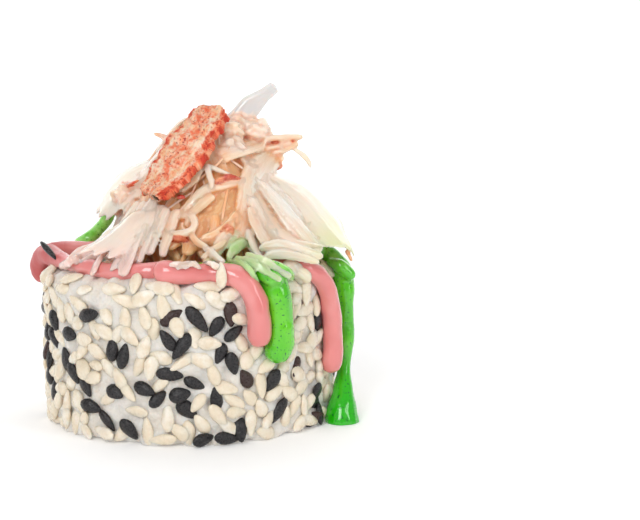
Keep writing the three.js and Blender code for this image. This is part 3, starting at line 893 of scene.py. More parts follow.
# Shreds where the photo has them: pixel x and y, and how far they lie off the heap in mm
traced = [
    dict(path=[(216, 157, 0.6), (236, 149, 1), (258, 143, 1.2), (280, 138, 1.4), (304, 137, 1.6)],
         widths=(3.2, 4.4, 3.8, 2.4, 1), thick=0.8, tintAndShade=0.4),
    dict(path=[(292, 138, 1.6), (275, 153, 1.7), (261, 168, 1.8), (252, 186, 1.8), (247, 208, 1.6),
               (240, 238, 1.4)],
         widths=(2, 3.6, 4.6, 4, 3.2, 1.6), thick=0.7, tintAndShade=0.35),
    dict(path=[(300, 142, 1), (282, 152, 0.8), (262, 160, 0.8), (245, 170, 0.6)],
         widths=(1, 2, 3, 2.6), tintAndShade=0.5),
    dict(path=[(293, 148, 1.2), (303, 155, 1.2), (309, 162, 1.2), (311, 169, 1)],
         widths=(0.8, 1, 0.9, 0.5), tintAndShade=0.2),
    dict(path=[(256, 150, 1.2), (276, 146, 1.3), (292, 142, 1.5)], widths=(2, 2.4, 1.2), tintAndShade=0.4),
    dict(path=[(254, 129, 1), (264, 127, 1.2), (272, 124.5, 1.2)], widths=(1.2, 0.8, 0.3), tintAndShade=0.1),
    dict(path=[(248, 228, 1.8), (253, 243, 2.6), (261, 257, 4), (273, 269, 5.6)],
         widths=(1, 1.1, 1, 0.6), tintAndShade=0.1),
    dict(path=[(240, 178, 0.3), (232, 196, 0.4), (220, 210, 0.5), (203, 220, 0.5), (186, 224, 0.5)],
         widths=(4, 6, 6.5, 5.5, 3), tintAndShade=1),
    dict(path=[(236, 205, 0.2), (228, 222, 0.3), (214, 234, 0.3), (200, 242, 0.3)],
         widths=(4, 5, 5, 3), tintAndShade=1),
    dict(path=[(196, 206, 0.3), (184, 220, 0.5), (172, 236, 0.9), (164, 250, 2)],
         widths=(3, 4.4, 4, 2), tintAndShade=1),
    dict(path=[(206, 214, 0.5), (198, 230, 0.8), (190, 246, 1.2), (186, 256, 2)],
         widths=(2, 2.8, 2.6, 1.4), tintAndShade=0.9),
    dict(path=[(226, 216, 0.6), (222, 234, 0.9), (212, 248, 1.4)], widths=(2, 2.6, 1.6), tintAndShade=0.8),
    dict(path=[(241, 180, 1.2), (224, 184, 1.3), (207, 189, 1.4), (194, 200, 1.5), (183, 212, 1.4),
               (170, 219, 1.2)],
         widths=(1.2, 1.6, 1.7, 1.7, 1.6, 1), tintAndShade=0.3),
    dict(path=[(216, 195, 1.5), (204, 202, 1.6), (193, 213, 1.6), (186, 228, 1.4)],
         widths=(0.9, 1.3, 1.2, 0.8), tintAndShade=0.45),
    dict(path=[(238, 212, 1.2), (228, 226, 1.4), (214, 236, 1.6), (200, 240, 1.5)],
         widths=(1, 1.5, 1.4, 0.9), tintAndShade=0.6),
    dict(path=[(233, 221, 1.6), (225, 236, 1.9), (213, 246, 2.3)], widths=(0.8, 1.2, 0.8), tintAndShade=0.5),
    dict(path=[(190, 232, 1.8), (198, 242, 2.2), (208, 250, 2.8)], widths=(0.8, 1.1, 0.8), tintAndShade=0.6),
    dict(path=[(168, 206, 1.6), (160, 222, 1.9), (153, 240, 2.6), (149, 256, 4)],
         widths=(1.2, 1.8, 1.7, 1.2), tintAndShade=0.1),
    dict(path=[(178, 208, 1.4), (171, 226, 1.7), (166, 243, 2.4), (163, 258, 3.6)],
         widths=(1, 1.6, 1.5, 1), tintAndShade=0.3),
    dict(path=[(226, 240, 2.2), (214, 250, 3), (200, 258, 4.2)], widths=(0.7, 1, 0.7), tintAndShade=0.5, herb=0.15),
    dict(path=[(206, 163, 2), (210, 175, 2.2), (211, 190, 2.2)], widths=(0.8, 1, 0.5), tintAndShade=0.15),
    dict(path=[(207, 163, 1.8), (220, 171, 1.8), (233, 176, 1.6)], widths=(0.5, 0.7, 0.4), tintAndShade=0.3),
    dict(path=[(203, 165, 1.6), (192, 181, 1.6), (178, 192, 1.4)], widths=(1, 1.5, 0.9), tintAndShade=0.35),
    dict(path=[(150, 239, 1.4), (162, 236, 1.8), (178, 234, 2.2), (191, 230, 2.4), (194, 222, 2.2),
               (189, 215, 1.8), (178, 217, 1.4), (168, 223, 1.2), (163, 229, 1)],
         widths=(0.7, 1.1, 1.1, 1.1, 0.7), thick=0.6, tintAndShade=0.4),
    dict(path=[(216, 214, 1), (214, 231, 1.3), (205, 241, 1.4), (190, 244, 1.2)],
         widths=(1, 1.4, 1.4, 0.8), tintAndShade=0.5),
    dict(path=[(240, 234, 1.2), (225, 242, 1.7), (214, 254, 2.6), (205, 264, 4)],
         widths=(1.4, 1.9, 1.8, 0.9), herb=0.4),
    dict(path=[(248, 240, 1), (236, 248, 1.8), (228, 260, 3)], widths=(1.2, 1.6, 1), herb=0.5),
    dict(path=[(156, 196, 1.4), (145, 216, 2), (135, 238, 3.6), (127, 258, 6.2), (122, 277, 7.8)],
         widths=(1.8, 2.6, 2.7, 2.5, 1.6)),
    dict(path=[(163, 204, 1.4), (151, 225, 2), (143, 244, 3.4), (137, 264, 5.6)],
         widths=(1.6, 2.2, 2.2, 1.6), tintAndShade=0.05),
    dict(path=[(147, 200, 1.2), (135, 220, 2), (125, 242, 4), (112, 271, 7.6)],
         widths=(1.4, 2.1, 2.3, 1.5)),
    dict(path=[(140, 200, 1), (129, 216, 1.2), (120, 228, 1.4), (118, 240, 1.6)],
         widths=(1.2, 1.6, 1.3, 0.7), tintAndShade=0.1),
    dict(path=[(130, 222, 1.4), (108, 237, 3.2), (86, 252, 6), (62, 268, 8)], widths=(1.6, 2.5, 2.4, 1.3)),
    dict(path=[(124, 234, 1.8), (110, 247, 4), (99, 260, 6.4), (92, 276, 8)], widths=(1.3, 1.9, 2, 1.4)),
    dict(path=[(118, 240, 2), (100, 252, 5), (80, 265, 7.4)], widths=(1.2, 1.7, 1.2)),
    dict(path=[(107, 199, 2.2), (113, 192, 2.2), (122, 187, 2.2), (131, 184, 2.2), (140, 180, 2)],
         widths=(0.5, 0.7, 0.5, 0.7, 0.4), thick=0.4, tintAndShade=0.6, skin=1),
    dict(path=[(178, 144, 1), (166, 138, 1.4), (152, 133, 1.6)],
         widths=(2.2, 1.5, 0.3), thick=0.7, tintAndShade=0.4, skin=0.4),
    dict(path=[(214, 182, 1.9), (225, 177, 1.9), (240, 177.5, 1.7)],
         widths=(0.5, 0.6, 0.4), tintAndShade=0.8, skin=1),
    dict(path=[(150, 168, 0.6), (135, 190, 0.8), (124, 215, 1)], widths=(2, 2.6, 1.4), tintAndShade=0.1),
    dict(path=[(176, 198, 0.6), (164, 216, 0.8), (152, 233, 1)], widths=(2, 2.4, 1.4), tintAndShade=0.3),
    dict(path=[(205, 246, 2.4), (214, 256, 4.2), (226, 262, 5.4)], widths=(0.9, 1.2, 0.7), tintAndShade=0.1),
]
# The fan on the right lies on the sheets: pixel x and y, and depth in mm
fan = [
    dict(hung=[(259, 180, -6.6), (275, 197, -8.2), (291, 216, -9.8), (307, 236, -11.4), (321, 254, -12.6)],
         widths=(1.4, 2.2, 2.5, 2.5, 1.8), tintAndShade=0.05),
    dict(hung=[(256, 188, -7.4), (271, 212, -9.4), (287, 233, -11.4), (302, 251, -13)],
         widths=(1.3, 2, 2.3, 1.7), tintAndShade=0.1),
    dict(hung=[(266, 178, -4.4), (290, 202, -6.8), (308, 225, -8.8), (323, 244, -10.2)],
         widths=(1.4, 2.2, 2.4, 1.8), tintAndShade=0.05),
    dict(hung=[(260, 184, -7.2), (276, 205, -9), (290, 224, -10.6), (304, 242, -12)],
         widths=(1.2, 1.9, 2.1, 1.5), tintAndShade=0.1),
    dict(hung=[(252, 196, -9), (262, 214, -10.8), (276, 235, -12.6), (288, 250, -14.2)],
         widths=(1.5, 2, 2.1, 1.6), tintAndShade=0.15),
    dict(hung=[(249, 206, -10.6), (256, 224, -12.2), (264, 240, -13.8), (274, 252, -15)],
         widths=(1.2, 1.7, 1.8, 1.3), tintAndShade=0.3),
    dict(hung=[(258, 249, -14.8), (278, 246, -14.8), (300, 250, -14.4), (324, 257, -13.6)],
         widths=(1.2, 1.9, 1.8, 1.2), tintAndShade=0.1),
    dict(hung=[(345, 250, -7.6), (350, 257, -8), (352, 262, -8)], widths=(0.6, 0.9, 0.6), tintAndShade=1, skin=0.45),
    dict(hung=[(262, 256, -15.2), (282, 255, -15.4), (304, 258, -15.2), (321, 262, -14.6)],
         widths=(1, 1.4, 1.3, 0.9), tintAndShade=0.15),
]
# Bits that lie on the sauces and the rice: pixel x and y
laid = [
    dict(spots=[(283, 262), (295, 268), (304, 283)], widths=(1.4, 2.4, 2), thick=1.2),
    dict(spots=[(290, 264), (304, 272), (310, 280)], widths=(1, 1.6, 1.2), thick=1),
    dict(spots=[(234, 260), (256, 267), (281, 281)], widths=(0.9, 1.3, 0.8), thick=0.4, herb=0.5),
    dict(spots=[(246, 257), (267, 263), (290, 276)], widths=(0.8, 1.2, 0.8), thick=0.4, herb=0.4),
    dict(spots=[(228, 262), (246, 271), (262, 282)], widths=(0.7, 1, 0.7), thick=0.4, herb=0.6),
    dict(spots=[(168, 266), (178, 267), (188, 270)], widths=(0.6, 1, 0.6), thick=0.5, tintAndShade=0.1),
    dict(spots=[(175, 271), (183, 267), (191, 265)], widths=(0.5, 0.9, 0.5), thick=0.5, tintAndShade=0.1),
    dict(spots=[(185, 269), (193, 267), (202, 270)], widths=(0.5, 0.9, 0.5), thick=0.5, tintAndShade=0.1),
    dict(spots=[(198, 262), (210, 266), (220, 270)], widths=(1, 1.4, 1), tintAndShade=0.1),
    dict(spots=[(62, 266), (78, 262), (96, 256)], widths=(1, 1.8, 2.2)),
]
# Broad sheets between two edges that run down: seen from outside, the left one and the right one
sharedEdge = [
    (9.1, -6, 32.6), (11, -7.5, 30.4), (12.8, -9, 28.2), (14.4, -10.5, 26.4), (16, -11.5, 25.2),
    (19, -10.6, 24.4),
]
drapes = [
    dict(
        edges=(sharedEdge, [(10.3, 0, 33.6), (13.9, 0.5, 33.3), (16.6, 0.5, 32.1), (18.9, -0.5, 30.2),
                            (20.7, -2, 27.9), (22.0, -4, 25.0), (22.9, -6.2, 22.0)]),
        bulge=1.1, thick=0.7, tintAndShade=0.05, herb=0.1, fray=0.03,
    ),
    dict(
        edges=([(7.9, -9, 31), (8.1, -11, 28.5), (8.8, -13, 26.4), (10.4, -14, 25.2), (12.6, -14.2, 24.8),
                (16, -13.6, 24.4)], sharedEdge),
        bulge=0.5, thick=0.7, tintAndShade=0.25, fray=0.1,
    ),
    dict(
        edges=([(-2.3, 2, 37.1), (-6.2, 3, 35.7), (-9.2, 3, 34.1), (-11.3, 2.5, 32), (-12.7, 2, 29.5),
                (-13.4, 1, 27.6)],
               [(-2.9, -4, 33.6), (-5.3, -5, 32.4), (-7, -5, 31.1), (-8.6, -4.5, 29.9), (-10.1, -4, 28.7),
                (-11.5, -3, 27.2)]),
        bulge=0.5, thick=0.6, tintAndShade=0.05, herb=0.1, fray=0.12,
    ),
    dict(
        edges=([(-8.3, -7, 29), (-10.8, -10, 26.9), (-13.6, -12.3, 25.2), (-16, -13.2, 24.2)],
               [(-3.9, -10, 29.6), (-5.5, -12.5, 26.8), (-7.1, -15, 24.9), (-8.4, -16.8, 23.6)]),
        bulge=0.4, thick=0.6, fray=0.2,
    ),
]
# Strips down the slopes: how many, between which angles, and where they start and end
slopes = [
    dict(count=11, angles=(14, 172), near=(2.5, 4), far=(12.6, 4.6), seed=23),
    dict(count=5, angles=(-62, 14), near=(3, 3), far=(12, 3.6), seed=41),
    dict(count=3, angles=(172, 236), near=(3, 3), far=(12, 3.6), seed=3),
    dict(count=3, angles=(40, 200), near=(0.5, 1.5), far=(6, 4), seed=5),
]
slopeSizes = {"sweep": 90, "lift": (0.3, 0.9), "width": (2, 2.4)}
# Shreds all over: each pair is the least and how much more there may be
fineShreds = {
    "count": 170,
    "width": (0.8, 2.4),
    "lift": (-0.9, 1.1),
    "near": (0.5, 8),
    "length": (4, 8),
    "thick": 0.6,
}
threads = {
    "count": 60,
    "width": (0.25, 0.3),
    "lift": (-0.2, 1.6),
    "near": (1, 9),
    "length": (3.5, 6),
    "thick": 0.3,
    "rows": 14,
    "sides": 6,
}
# Crumbs of meat: pixel x and y, distance off the heap, size in mm, tint (partly painted shade) and skin
crumbs = [
    (243, 127, 1.0, (3.4, 1.6, 1.3), 0.25, 0.0), (228, 131, 0.9, (2.2, 1.8, 1.5), 0.4, 0.1),
    (256, 131, 0.8, (2.2, 1.4, 1.2), 0.2, 0.0), (128, 196, 1.2, (2.2, 1.5, 1.6), 0.3, 0.15),
    (118, 206, 1.0, (1.6, 1.2, 1.3), 0.3, 0.1), (277, 165, 1.4, (0.75, 0.75, 0.7), 1.0, 0.55),
    (257, 226, 1.9, (0.8, 0.7, 0.75), 1.0, 0.5), (228, 230, 1.6, (0.75, 0.7, 0.7), 1.0, 0.6),
    (223, 233, 1.4, (0.6, 0.5, 0.4), 1.0, 1.0), (312, 232, 1.4, (0.9, 0.8, 0.75), 1.0, 0.45),
    (276, 142, 2.0, (0.36, 0.36, 0.3), 1.0, 0.9), (290, 140, 1.9, (0.4, 0.4, 0.35), 1.0, 0.7),
    (181, 197, 1.9, (0.6, 0.4, 0.35), 1.0, 1.0), (180, 239, 1.7, (0.9, 0.4, 0.35), 1.0, 1.0),
]
crumbPatch = {
    "count": 40,
    "x": (222, 268),  # pixels
    "y": (118, 156),
    "lift": (0.2, 1.1),
    "size": (0.25, 0.5),  # the least, and how much more
    "seed": 8,
}
pointKinds = ("tintAndShade", "skin", "herb")


def seededDraw(seed):  # the draw that the solids' source uses
    state = seed
    while True:
        state = (state * 1664525 + 1013904223) % 2**32
        yield state / 2**32


def heapHeight(radius):  # of the heap over its foot
    stops = heap["profile"][::-1]
    low = [stop[0] for stop in stops]
    high = [stop[1] for stop in stops]
    return float(np.interp(radius, [0] + low, [high[0] + heap["crown"]] + high))


def offHeap(places):  # how far places lie outside the heap
    away = np.hypot(places[:, 0] - heap["middle"][0], places[:, 1] - heap["middle"][1])
    heights, radii = zip(*[(height, radius) for radius, height in heap["profile"]])
    top = heights[-1] + heap["crown"]
    heights = (-3,) + heights + (top, top + 12)
    return away - np.interp(places[:, 2] - heap["foot"], heights, (15,) + radii + (0, -6))


def heapPoint(x, y, lift):  # where the line through a pixel meets, or comes nearest to, a skin over the heap
    start, way = photoRay(x, y)
    places = np.array(start) / mm + np.outer(np.arange(*view["heapAway"], 0.1), np.array(way))
    gap = offHeap(places) - lift
    met = np.nonzero(gap <= 0)[0]
    return Vector(places[met[0] if len(met) else np.argmin(gap)])


def depthPoint(x, y, depth):  # where the line through a pixel meets an upright plane
    start, way = photoRay(x, y)
    return (start + way * ((depth * mm - start.y) / way.y)) / mm


def laidPoint(tree, x, y):  # on what the line through a pixel meets first
    place, normal, _, _ = tree.ray_cast(*photoRay(x, y))
    return place / mm + normal * heap["laidLift"]


def slopeRoute(angle, sweep, near, far, lift):
    route = []
    for share in (0, 1 / 3, 2 / 3, 1):
        radius = near + share * (far - near)
        height = heap["foot"] + heapHeight(radius) + lift * (1 + share * (1 - share))
        place = roundPoint(angle + sweep * (share - 1), radius, height)
        route.append(place + Vector((*heap["middle"][:2], 0)))
    return route


def slopeShreds():
    made = []
    for slope in slopes:
        draw = seededDraw(slope["seed"])
        first, last = slope["angles"]
        for i in range(slope["count"]):
            near = slope["near"][0] + next(draw) * slope["near"][1]
            far = slope["far"][0] + next(draw) * slope["far"][1]
            sweep = (next(draw) - 0.5) * slopeSizes["sweep"]
            lift = slopeSizes["lift"][0] + next(draw) * slopeSizes["lift"][1]
            width = slopeSizes["width"][0] + next(draw) * slopeSizes["width"][1]
            angle = first + (i + 0.5) / slope["count"] * (last - first)
            route = slopeRoute(angle, sweep, near, far, lift)
            widths = (0.6 * width, width, width, 0.5 * width)
            made.append(dict(route=route, widths=widths, tintAndShade=(0.4 * i) % 0.5))
    return made


def looseShreds(kind, draw):
    made = []
    for i in range(kind["count"]):
        angle = (i + draw.random()) / kind["count"] * 360
        near = kind["near"][0] + draw.random() * kind["near"][1]
        far = near + kind["length"][0] + draw.random() * kind["length"][1]
        lift = kind["lift"][0] + draw.random() * kind["lift"][1]
        width = kind["width"][0] + draw.random() * kind["width"][1]
        sweep = draw.uniform(-heap["looseSweep"], heap["looseSweep"])
        route = slopeRoute(angle, sweep, near, min(far, heap["looseReach"]), lift)
        middle = route[1].lerp(route[2], 0.5)
        # painted warm shade: shreds near the shaded middle get more tint
        front = max(0, 1 - (middle - Vector(heap["paintedShadeMiddle"])).length / heap["paintedShadeReach"])
        tintAndShade = 0.15 + 0.3 * draw.random() + 0.8 * front
        widths = (0.5 * width, width, 0.9 * width, 0.4 * width)
        made.append(dict(route=route, widths=widths, thick=kind["thick"], tintAndShade=tintAndShade))
    return made


def routeThrough(points, count):  # a smooth line through some points, evenly stepped
    points = np.array([tuple(point) for point in points], float)
    padded = np.vstack([2 * points[0] - points[1], points, 2 * points[-1] - points[-2]])
    t = np.linspace(0, 1, 24, endpoint=False)[:, None]
    line = []
    for a, b, c, d in zip(padded, padded[1:], padded[2:], padded[3:]):
        bend = (2 * a - 5 * b + 4 * c - d) * t**2 + (3 * b - a - 3 * c + d) * t**3
        line.append(0.5 * (2 * b + (c - a) * t + bend))
    line = np.vstack(line + [points[-1:]])
    run = np.concatenate([[0], np.cumsum(np.linalg.norm(np.diff(line, axis=0), axis=1))])
    even = np.linspace(0, run[-1], count)
    return np.column_stack([np.interp(even, run, line[:, axis]) for axis in range(3)]), run[-1]


def unit(rows):
    return rows / np.maximum(np.linalg.norm(rows, axis=-1, keepdims=True), 1e-9)


def ripple(draw, count, low, high):  # a few waves added up, as a function
    waves = [(draw.uniform(low, high), draw.uniform(0, 6.3)) for _ in range(count)]
    return lambda x: sum(np.sin(x * pace + start) for pace, start in waves) / count


def tubeFaces(rows, sides):  # round rows of points, closed at both ends
    faces = [
        (i * sides + j, i * sides + (j + 1) % sides, (i + 1) * sides + (j + 1) % sides, (i + 1) * sides + j)
        for i in range(rows - 1)
        for j in range(sides)
    ]
    faces.append(tuple(range(sides))[::-1])
    faces.append(tuple((rows - 1) * sides + j for j in range(sides)))
    return faces


def ribbon(spec, draw, rows, sides):  # points, faces, and the place on the strip of each point of one shred
    steps = 80
    line, length = routeThrough(spec["route"], steps)
    tangent = unit(np.gradient(line, axis=0))
    away = unit(np.array(spec["face"]) + 0 * line if "face" in spec else line - np.array(heap["middle"]))
    across = unit(np.cross(away, tangent))
    outward = np.cross(tangent, across)
    share = np.linspace(0, 1, steps)
    turn = (spec.get("twist", draw.uniform(-0.5, 0.5)) * (share - 0.5))[:, None]
    turned = across * np.cos(turn) + outward * np.sin(turn)
    outward = outward * np.cos(turn) - across * np.sin(turn)
    across = turned
    around = np.arange(sides) / sides * 2 * math.pi
    x = np.cos(around)
    fringe = min(0.2, 1.5 / length)
    ragged = ripple(draw, 3, 3, 11)
    cut = fringe * (0.5 + 0.5 * ragged(x))
    t = 0.5 * cut + (1 - 0.9 * cut) * (0.5 - 0.5 * np.cos(np.linspace(0, math.pi, rows)))[:, None]

    def along(values):
        return np.stack([np.interp(t, share, values[:, axis]) for axis in range(3)], axis=-1)

    widths = spec["widths"]
    cap = spec.get("ends", min(0.3, 0.8 / length))
    nearEnd = np.clip(np.minimum(share, 1 - share) / cap, 0, 1)
    rounded = 0.12 + 0.88 * np.sqrt(1 - (1 - nearEnd) ** 2)
    smooth = np.interp(share, np.linspace(0, 1, len(widths)), widths)
    smooth = np.convolve(np.pad(smooth, 6, mode="edge"), np.full(13, 1 / 13), mode="valid")
    half = np.interp(t, share, smooth / 2 * rounded * (1 + 0.1 * ripple(draw, 2, 6, 16)(share)))
    thick = np.interp(t, share, rounded) * np.minimum(spec.get("thick", 0.65) / 2, half)
    thick = thick * (1 + 0.15 * ripple(draw, 2, 5, 12)(t))
    flat = spec.get("flat", 0.65)
    profile = np.sign(np.sin(around)) * np.abs(np.sin(around)) ** flat
    fibres = ripple(draw, 3, 6, 16)
    ridge = 0.16 * fibres(x + 0.12 * t) * thick * np.sin(around)
    cup = spec.get("cup", draw.uniform(-0.1, 0.2)) * half * x**2
    sway = 0.12 * ripple(draw, 2, 4, 9)(t)
    points = along(line) + along(across) * (x * half + sway)[..., None]
    points = points + along(outward) * (profile * thick + ridge - cup)[..., None]
    places = np.stack([t * length, np.broadcast_to(x * np.max(half), t.shape)], axis=-1)
    return points.reshape(-1, 3), tubeFaces(rows, sides), places.reshape(-1, 2)


def drape(spec, draw, rows, sides):  # a thin sheet hung between two edges
    left, right = (routeThrough(edge, rows)[0] for edge in spec["edges"])
    middle = (left + right) / 2
    across = (right - left) / 2
    out = unit(np.cross(across, np.gradient(middle, axis=0)))
    out = out * np.sign(np.sum(out * (middle - np.array(heap["middle"])), axis=1, keepdims=True))
    around = np.arange(sides) / sides * 2 * math.pi
    x = np.cos(around)[None, :]
    even = np.linspace(0, 1, rows)
    share = even[:, None] * (1 - spec["fray"] * (0.5 + 0.5 * ripple(draw, 3, 4, 16)(x)))  # frayed at the foot

    def along(values):
        return np.stack([np.interp(share, even, values[:, axis]) for axis in range(3)], axis=-1)

    reach = 1 + 0.06 * ripple(draw, 3, 12, 40)(share) * np.sign(x)
    ends = np.sqrt(np.clip(1 - (2 * even[:, None] - 1) ** 8, 0.02, 1))
    folds = 0.08 * ripple(draw, 3, 4, 11)(x + 0.2 * share) + 0.15 * ripple(draw, 2, 4, 9)(share)
    lift = spec["bulge"] * (1 - x**2) + folds + spec["thick"] / 2 * np.sin(around) * ends
    points = along(middle) + along(across) * (x * reach)[..., None] + along(out) * lift[..., None]
    length = np.linalg.norm(middle[-1] - middle[0])
    wide = np.linalg.norm(across, axis=1)[:, None]
    places = np.stack([share * length, x * wide], axis=-1) * 0.2  # with broader fibres than the shreds
    return points.reshape(-1, 3), tubeFaces(rows, sides), places.reshape(-1, 2)


def crumb(template, spec):  # an uneven lump of meat
    x, y, lift, sizes, _, _ = spec
    middle = np.array(heapPoint(x, y, lift))
    ball, faces = template
    points = []
    for way in ball:
        shift = Vector(way) * 2.0 + Vector((x, y, 0)) * 0.37
        swell = 1 + 0.35 * noise.noise(shift) + 0.35 * noise.noise(shift * 2.6)
        points.append(middle + way * sizes * swell)
    return np.array(points), faces, ball[:, :2] * sizes[0]


def patchCrumbs():
    draw = random.Random(crumbPatch["seed"])
    made = []
    for _ in range(crumbPatch["count"]):
        least, more = crumbPatch["size"]
        size = least + more * draw.random()
        sizes = (size * draw.uniform(0.8, 1.6), size * draw.uniform(0.8, 1.2), size)
        x, y, lift = (draw.uniform(*crumbPatch[name]) for name in ("x", "y", "lift"))
        made.append((x, y, lift, sizes, draw.uniform(0.05, 0.35), 0.0))
    return made


def shredParts(specs, draw, rows, sides, lumps=(), hung=()):  # many shreds, with the values at each point
    deselectAll()
    bpy.ops.mesh.primitive_ico_sphere_add(subdivisions=4, radius=mm)
    ball = templateFrom(bpy.context.object)
    made = [(ribbon(spec, draw, rows, sides), spec) for spec in specs]
    made += [(crumb(ball, spec), dict(tintAndShade=spec[4], skin=spec[5])) for spec in lumps]
    made += [(drape(spec, draw, heap["drapeRows"], heap["drapeSides"]), spec) for spec in hung]
    starts = np.concatenate([[0], np.cumsum([len(part[0]) for part, _ in made])])
    parts = {
        "points": np.vstack([part[0] for part, _ in made]),
        "faces": [
            tuple(i + start for i in face)
            for (part, _), start in zip(made, starts)
            for face in part[1]
        ],
        "lay": np.vstack([np.pad(part[2] + draw.uniform(0, 200), ((0, 0), (0, 1))) for part, _ in made]) * mm,
    }
    for value in pointKinds:
        parts[value] = np.repeat([spec.get(value, 0) for _, spec in made], np.diff(starts))
    return parts


def hollows(piece):  # how deep each point lies between those round it, in mm
    mesh = piece.data
    count = len(mesh.vertices)
    places = np.empty(count * 3)
    mesh.vertices.foreach_get("co", places)
    normals = np.empty(count * 3)
    mesh.vertices.foreach_get("normal", normals)
    ends = np.empty(len(mesh.edges) * 2, int)
    mesh.edges.foreach_get("vertices", ends)
    ends = ends.reshape(-1, 2)
    here, there = np.vstack([ends, ends[:, ::-1]]).T
    shares = np.bincount(here, minlength=count)[:, None]
    smooth = places.reshape(-1, 3)
    for _ in range(heap["hollowReach"]):
        sums = [np.bincount(here, smooth[there, axis], count) for axis in range(3)]
        smooth = np.column_stack(sums) / shares
    return np.sum((smooth - places.reshape(-1, 3)) * normals.reshape(-1, 3), axis=1) / mm


def dropStrays(piece):  # single loose faces that thinning leaves
    piece.data.validate()
    editPoints(piece, lambda point: False)
    bpy.ops.mesh.select_non_manifold(
        extend=False, use_multi_face=False, use_non_contiguous=False, use_verts=False
    )
    bpy.ops.mesh.delete(type="VERT")
    deselectAll()


def carryValues(piece, parts, core):  # each point of the fused skin takes after the nearest shred
    finder = KDTree(len(parts["points"]) + len(core))
    for i, place in enumerate(np.vstack([parts["points"], core])):
        finder.insert(place, i)
    finder.balance()
    places = np.array([point.co for point in piece.data.vertices]) / mm
    near = np.array([[found[1] for found in finder.find_n(place, 7)] for place in places])
    # painted warm shade: tint rises deep in the heap near its shaded middle and in hollows between shreds,
    # and the core's tint of 0.35 is partly painted shade in the gaps
    front = np.clip(1.3 - np.linalg.norm(places - heap["paintedShadeMiddle"], axis=1) / heap["paintedShadeReach"], 0, 1)
    deep = 1.1 * front * np.clip(1 - offHeap(places) / 2, 0, 1)
    deep += 0.6 * np.clip(0.5 - places[:, 1] / 12, 0.25, 1) * np.clip(hollows(piece) / 0.45, 0, 1)
    pointVectors(piece, "lay", np.vstack([parts["lay"], core[:, [2, 0, 1]] * mm])[near[:, 0]])
    for value, inCore in (("tintAndShade", 0.35), ("skin", 0.0), ("herb", 0.0)):
        known = np.concatenate([parts[value], np.full(len(core), inCore)])
        pointValues(piece, value, known[near].mean(axis=1) + (deep if value == "tintAndShade" else 0))


def heapCore():  # the lump that the shreds lie on, drawn up ring by ring
    shrink = heap["coreShare"]
    x, y, _ = heap["middle"]
    deselectAll()
    bpy.ops.mesh.primitive_circle_add(
        vertices=heap["coreSides"], radius=heap["profile"][0][0] * shrink * mm, fill_type="NGON",
        location=(x * mm, y * mm, heap["foot"] * mm),
    )
    core = bpy.context.object
    bpy.ops.object.transform_apply(location=True, rotation=False, scale=False)
    bpy.ops.object.mode_set(mode="EDIT")
    bpy.ops.mesh.select_all(action="SELECT")
    for (radius, height), (nextRadius, nextHeight) in zip(heap["profile"], heap["profile"][1:]):
        rise = (nextHeight - height) * shrink * mm
        bpy.ops.mesh.extrude_region_move(TRANSFORM_OT_translate={"value": (0, 0, rise)})
        taper = nextRadius / radius
        bpy.ops.transform.resize(value=(taper, taper, 1))
    deselectAll()
    fuse(core, heap["coreVoxel"], 2)
    large, small = heap["coreLumps"]
    pushOut(core, lambda place: noise.noise(place * 0.35) * large + noise.noise(place * 1.1) * small)
    return core


def crabFinish(name, depth, weight):
    material, shader, place = newFinish(name, moist(depth, weight, 0.3))
    shader.inputs["Coat Weight"].default_value = 0.7
    shader.inputs["Coat Roughness"].default_value = 0.1
    across, height = (place.part(axis) / mm for axis in (0, 2))
    blush = 0.6 * (1 - height.ramp(23.5, 27)) * (1 - across.ramp(-4, 3))  # stained by the pink sauce
    fresh = 0.6 * (1 - height.ramp(24, 31)) * across.ramp(13, 20)  # and by the green
    place = place.attribute("lay", 1)
    tintAndShade, skin, herb = (place.attribute(value) for value in pointKinds)
    streak = place.stretched((0.12, 1.6, 1)).noise(1.0, 4.0, 0.6)
    fibre = place.stretched((0.2, 4, 1)).noise(1.0, 3.0, 0.6)
    blotch = place.noise(0.35, 3.0)
    # painted shade: higher tint mixes in peach, partly the meat's colour and partly painted warm shade; tint
    # below 0 gives the stick's grey, partly painted shade
    greyAndShade = (0 - tintAndShade).ramp(0.2, 0.6)
    clear = streak.ramp(0.35, 0.7).mix(colour(0.86, 0.67, 0.55), colour(0.93, 0.79, 0.68))
    peach = streak.ramp(0.3, 0.7).mix(colour(0.92, 0.38, 0.14), colour(0.94, 0.57, 0.32))
    peachAndShade = (tintAndShade + 0.6 * blotch - 0.3).ramp(0.0, 1.0)
    red = (skin + 0.8 * blotch - 0.62).ramp(0.0, 0.5)
    stain = (herb + 0.8 * blotch - 0.5).ramp(0.0, 0.6)
    clear = blush.mix(fresh.mix(clear, colour(0.66, 0.78, 0.34)), colour(0.9, 0.5, 0.48))
    body = stain.mix(peachAndShade.mix(greyAndShade.mix(clear, colour(0.68, 0.67, 0.66)), peach), colour(0.42, 0.68, 0.26))
    rind = blotch.ramp(0.4, 0.6).mix(colour(0.5, 0.05, 0.025), colour(0.84, 0.28, 0.14))
    feed(
        shader,
        Base_Color=red.mix(body, rind),
        Roughness=0.12 + 0.16 * streak,
        Normal=(streak + 0.5 * fibre).bump(0.18),
    )
    return material


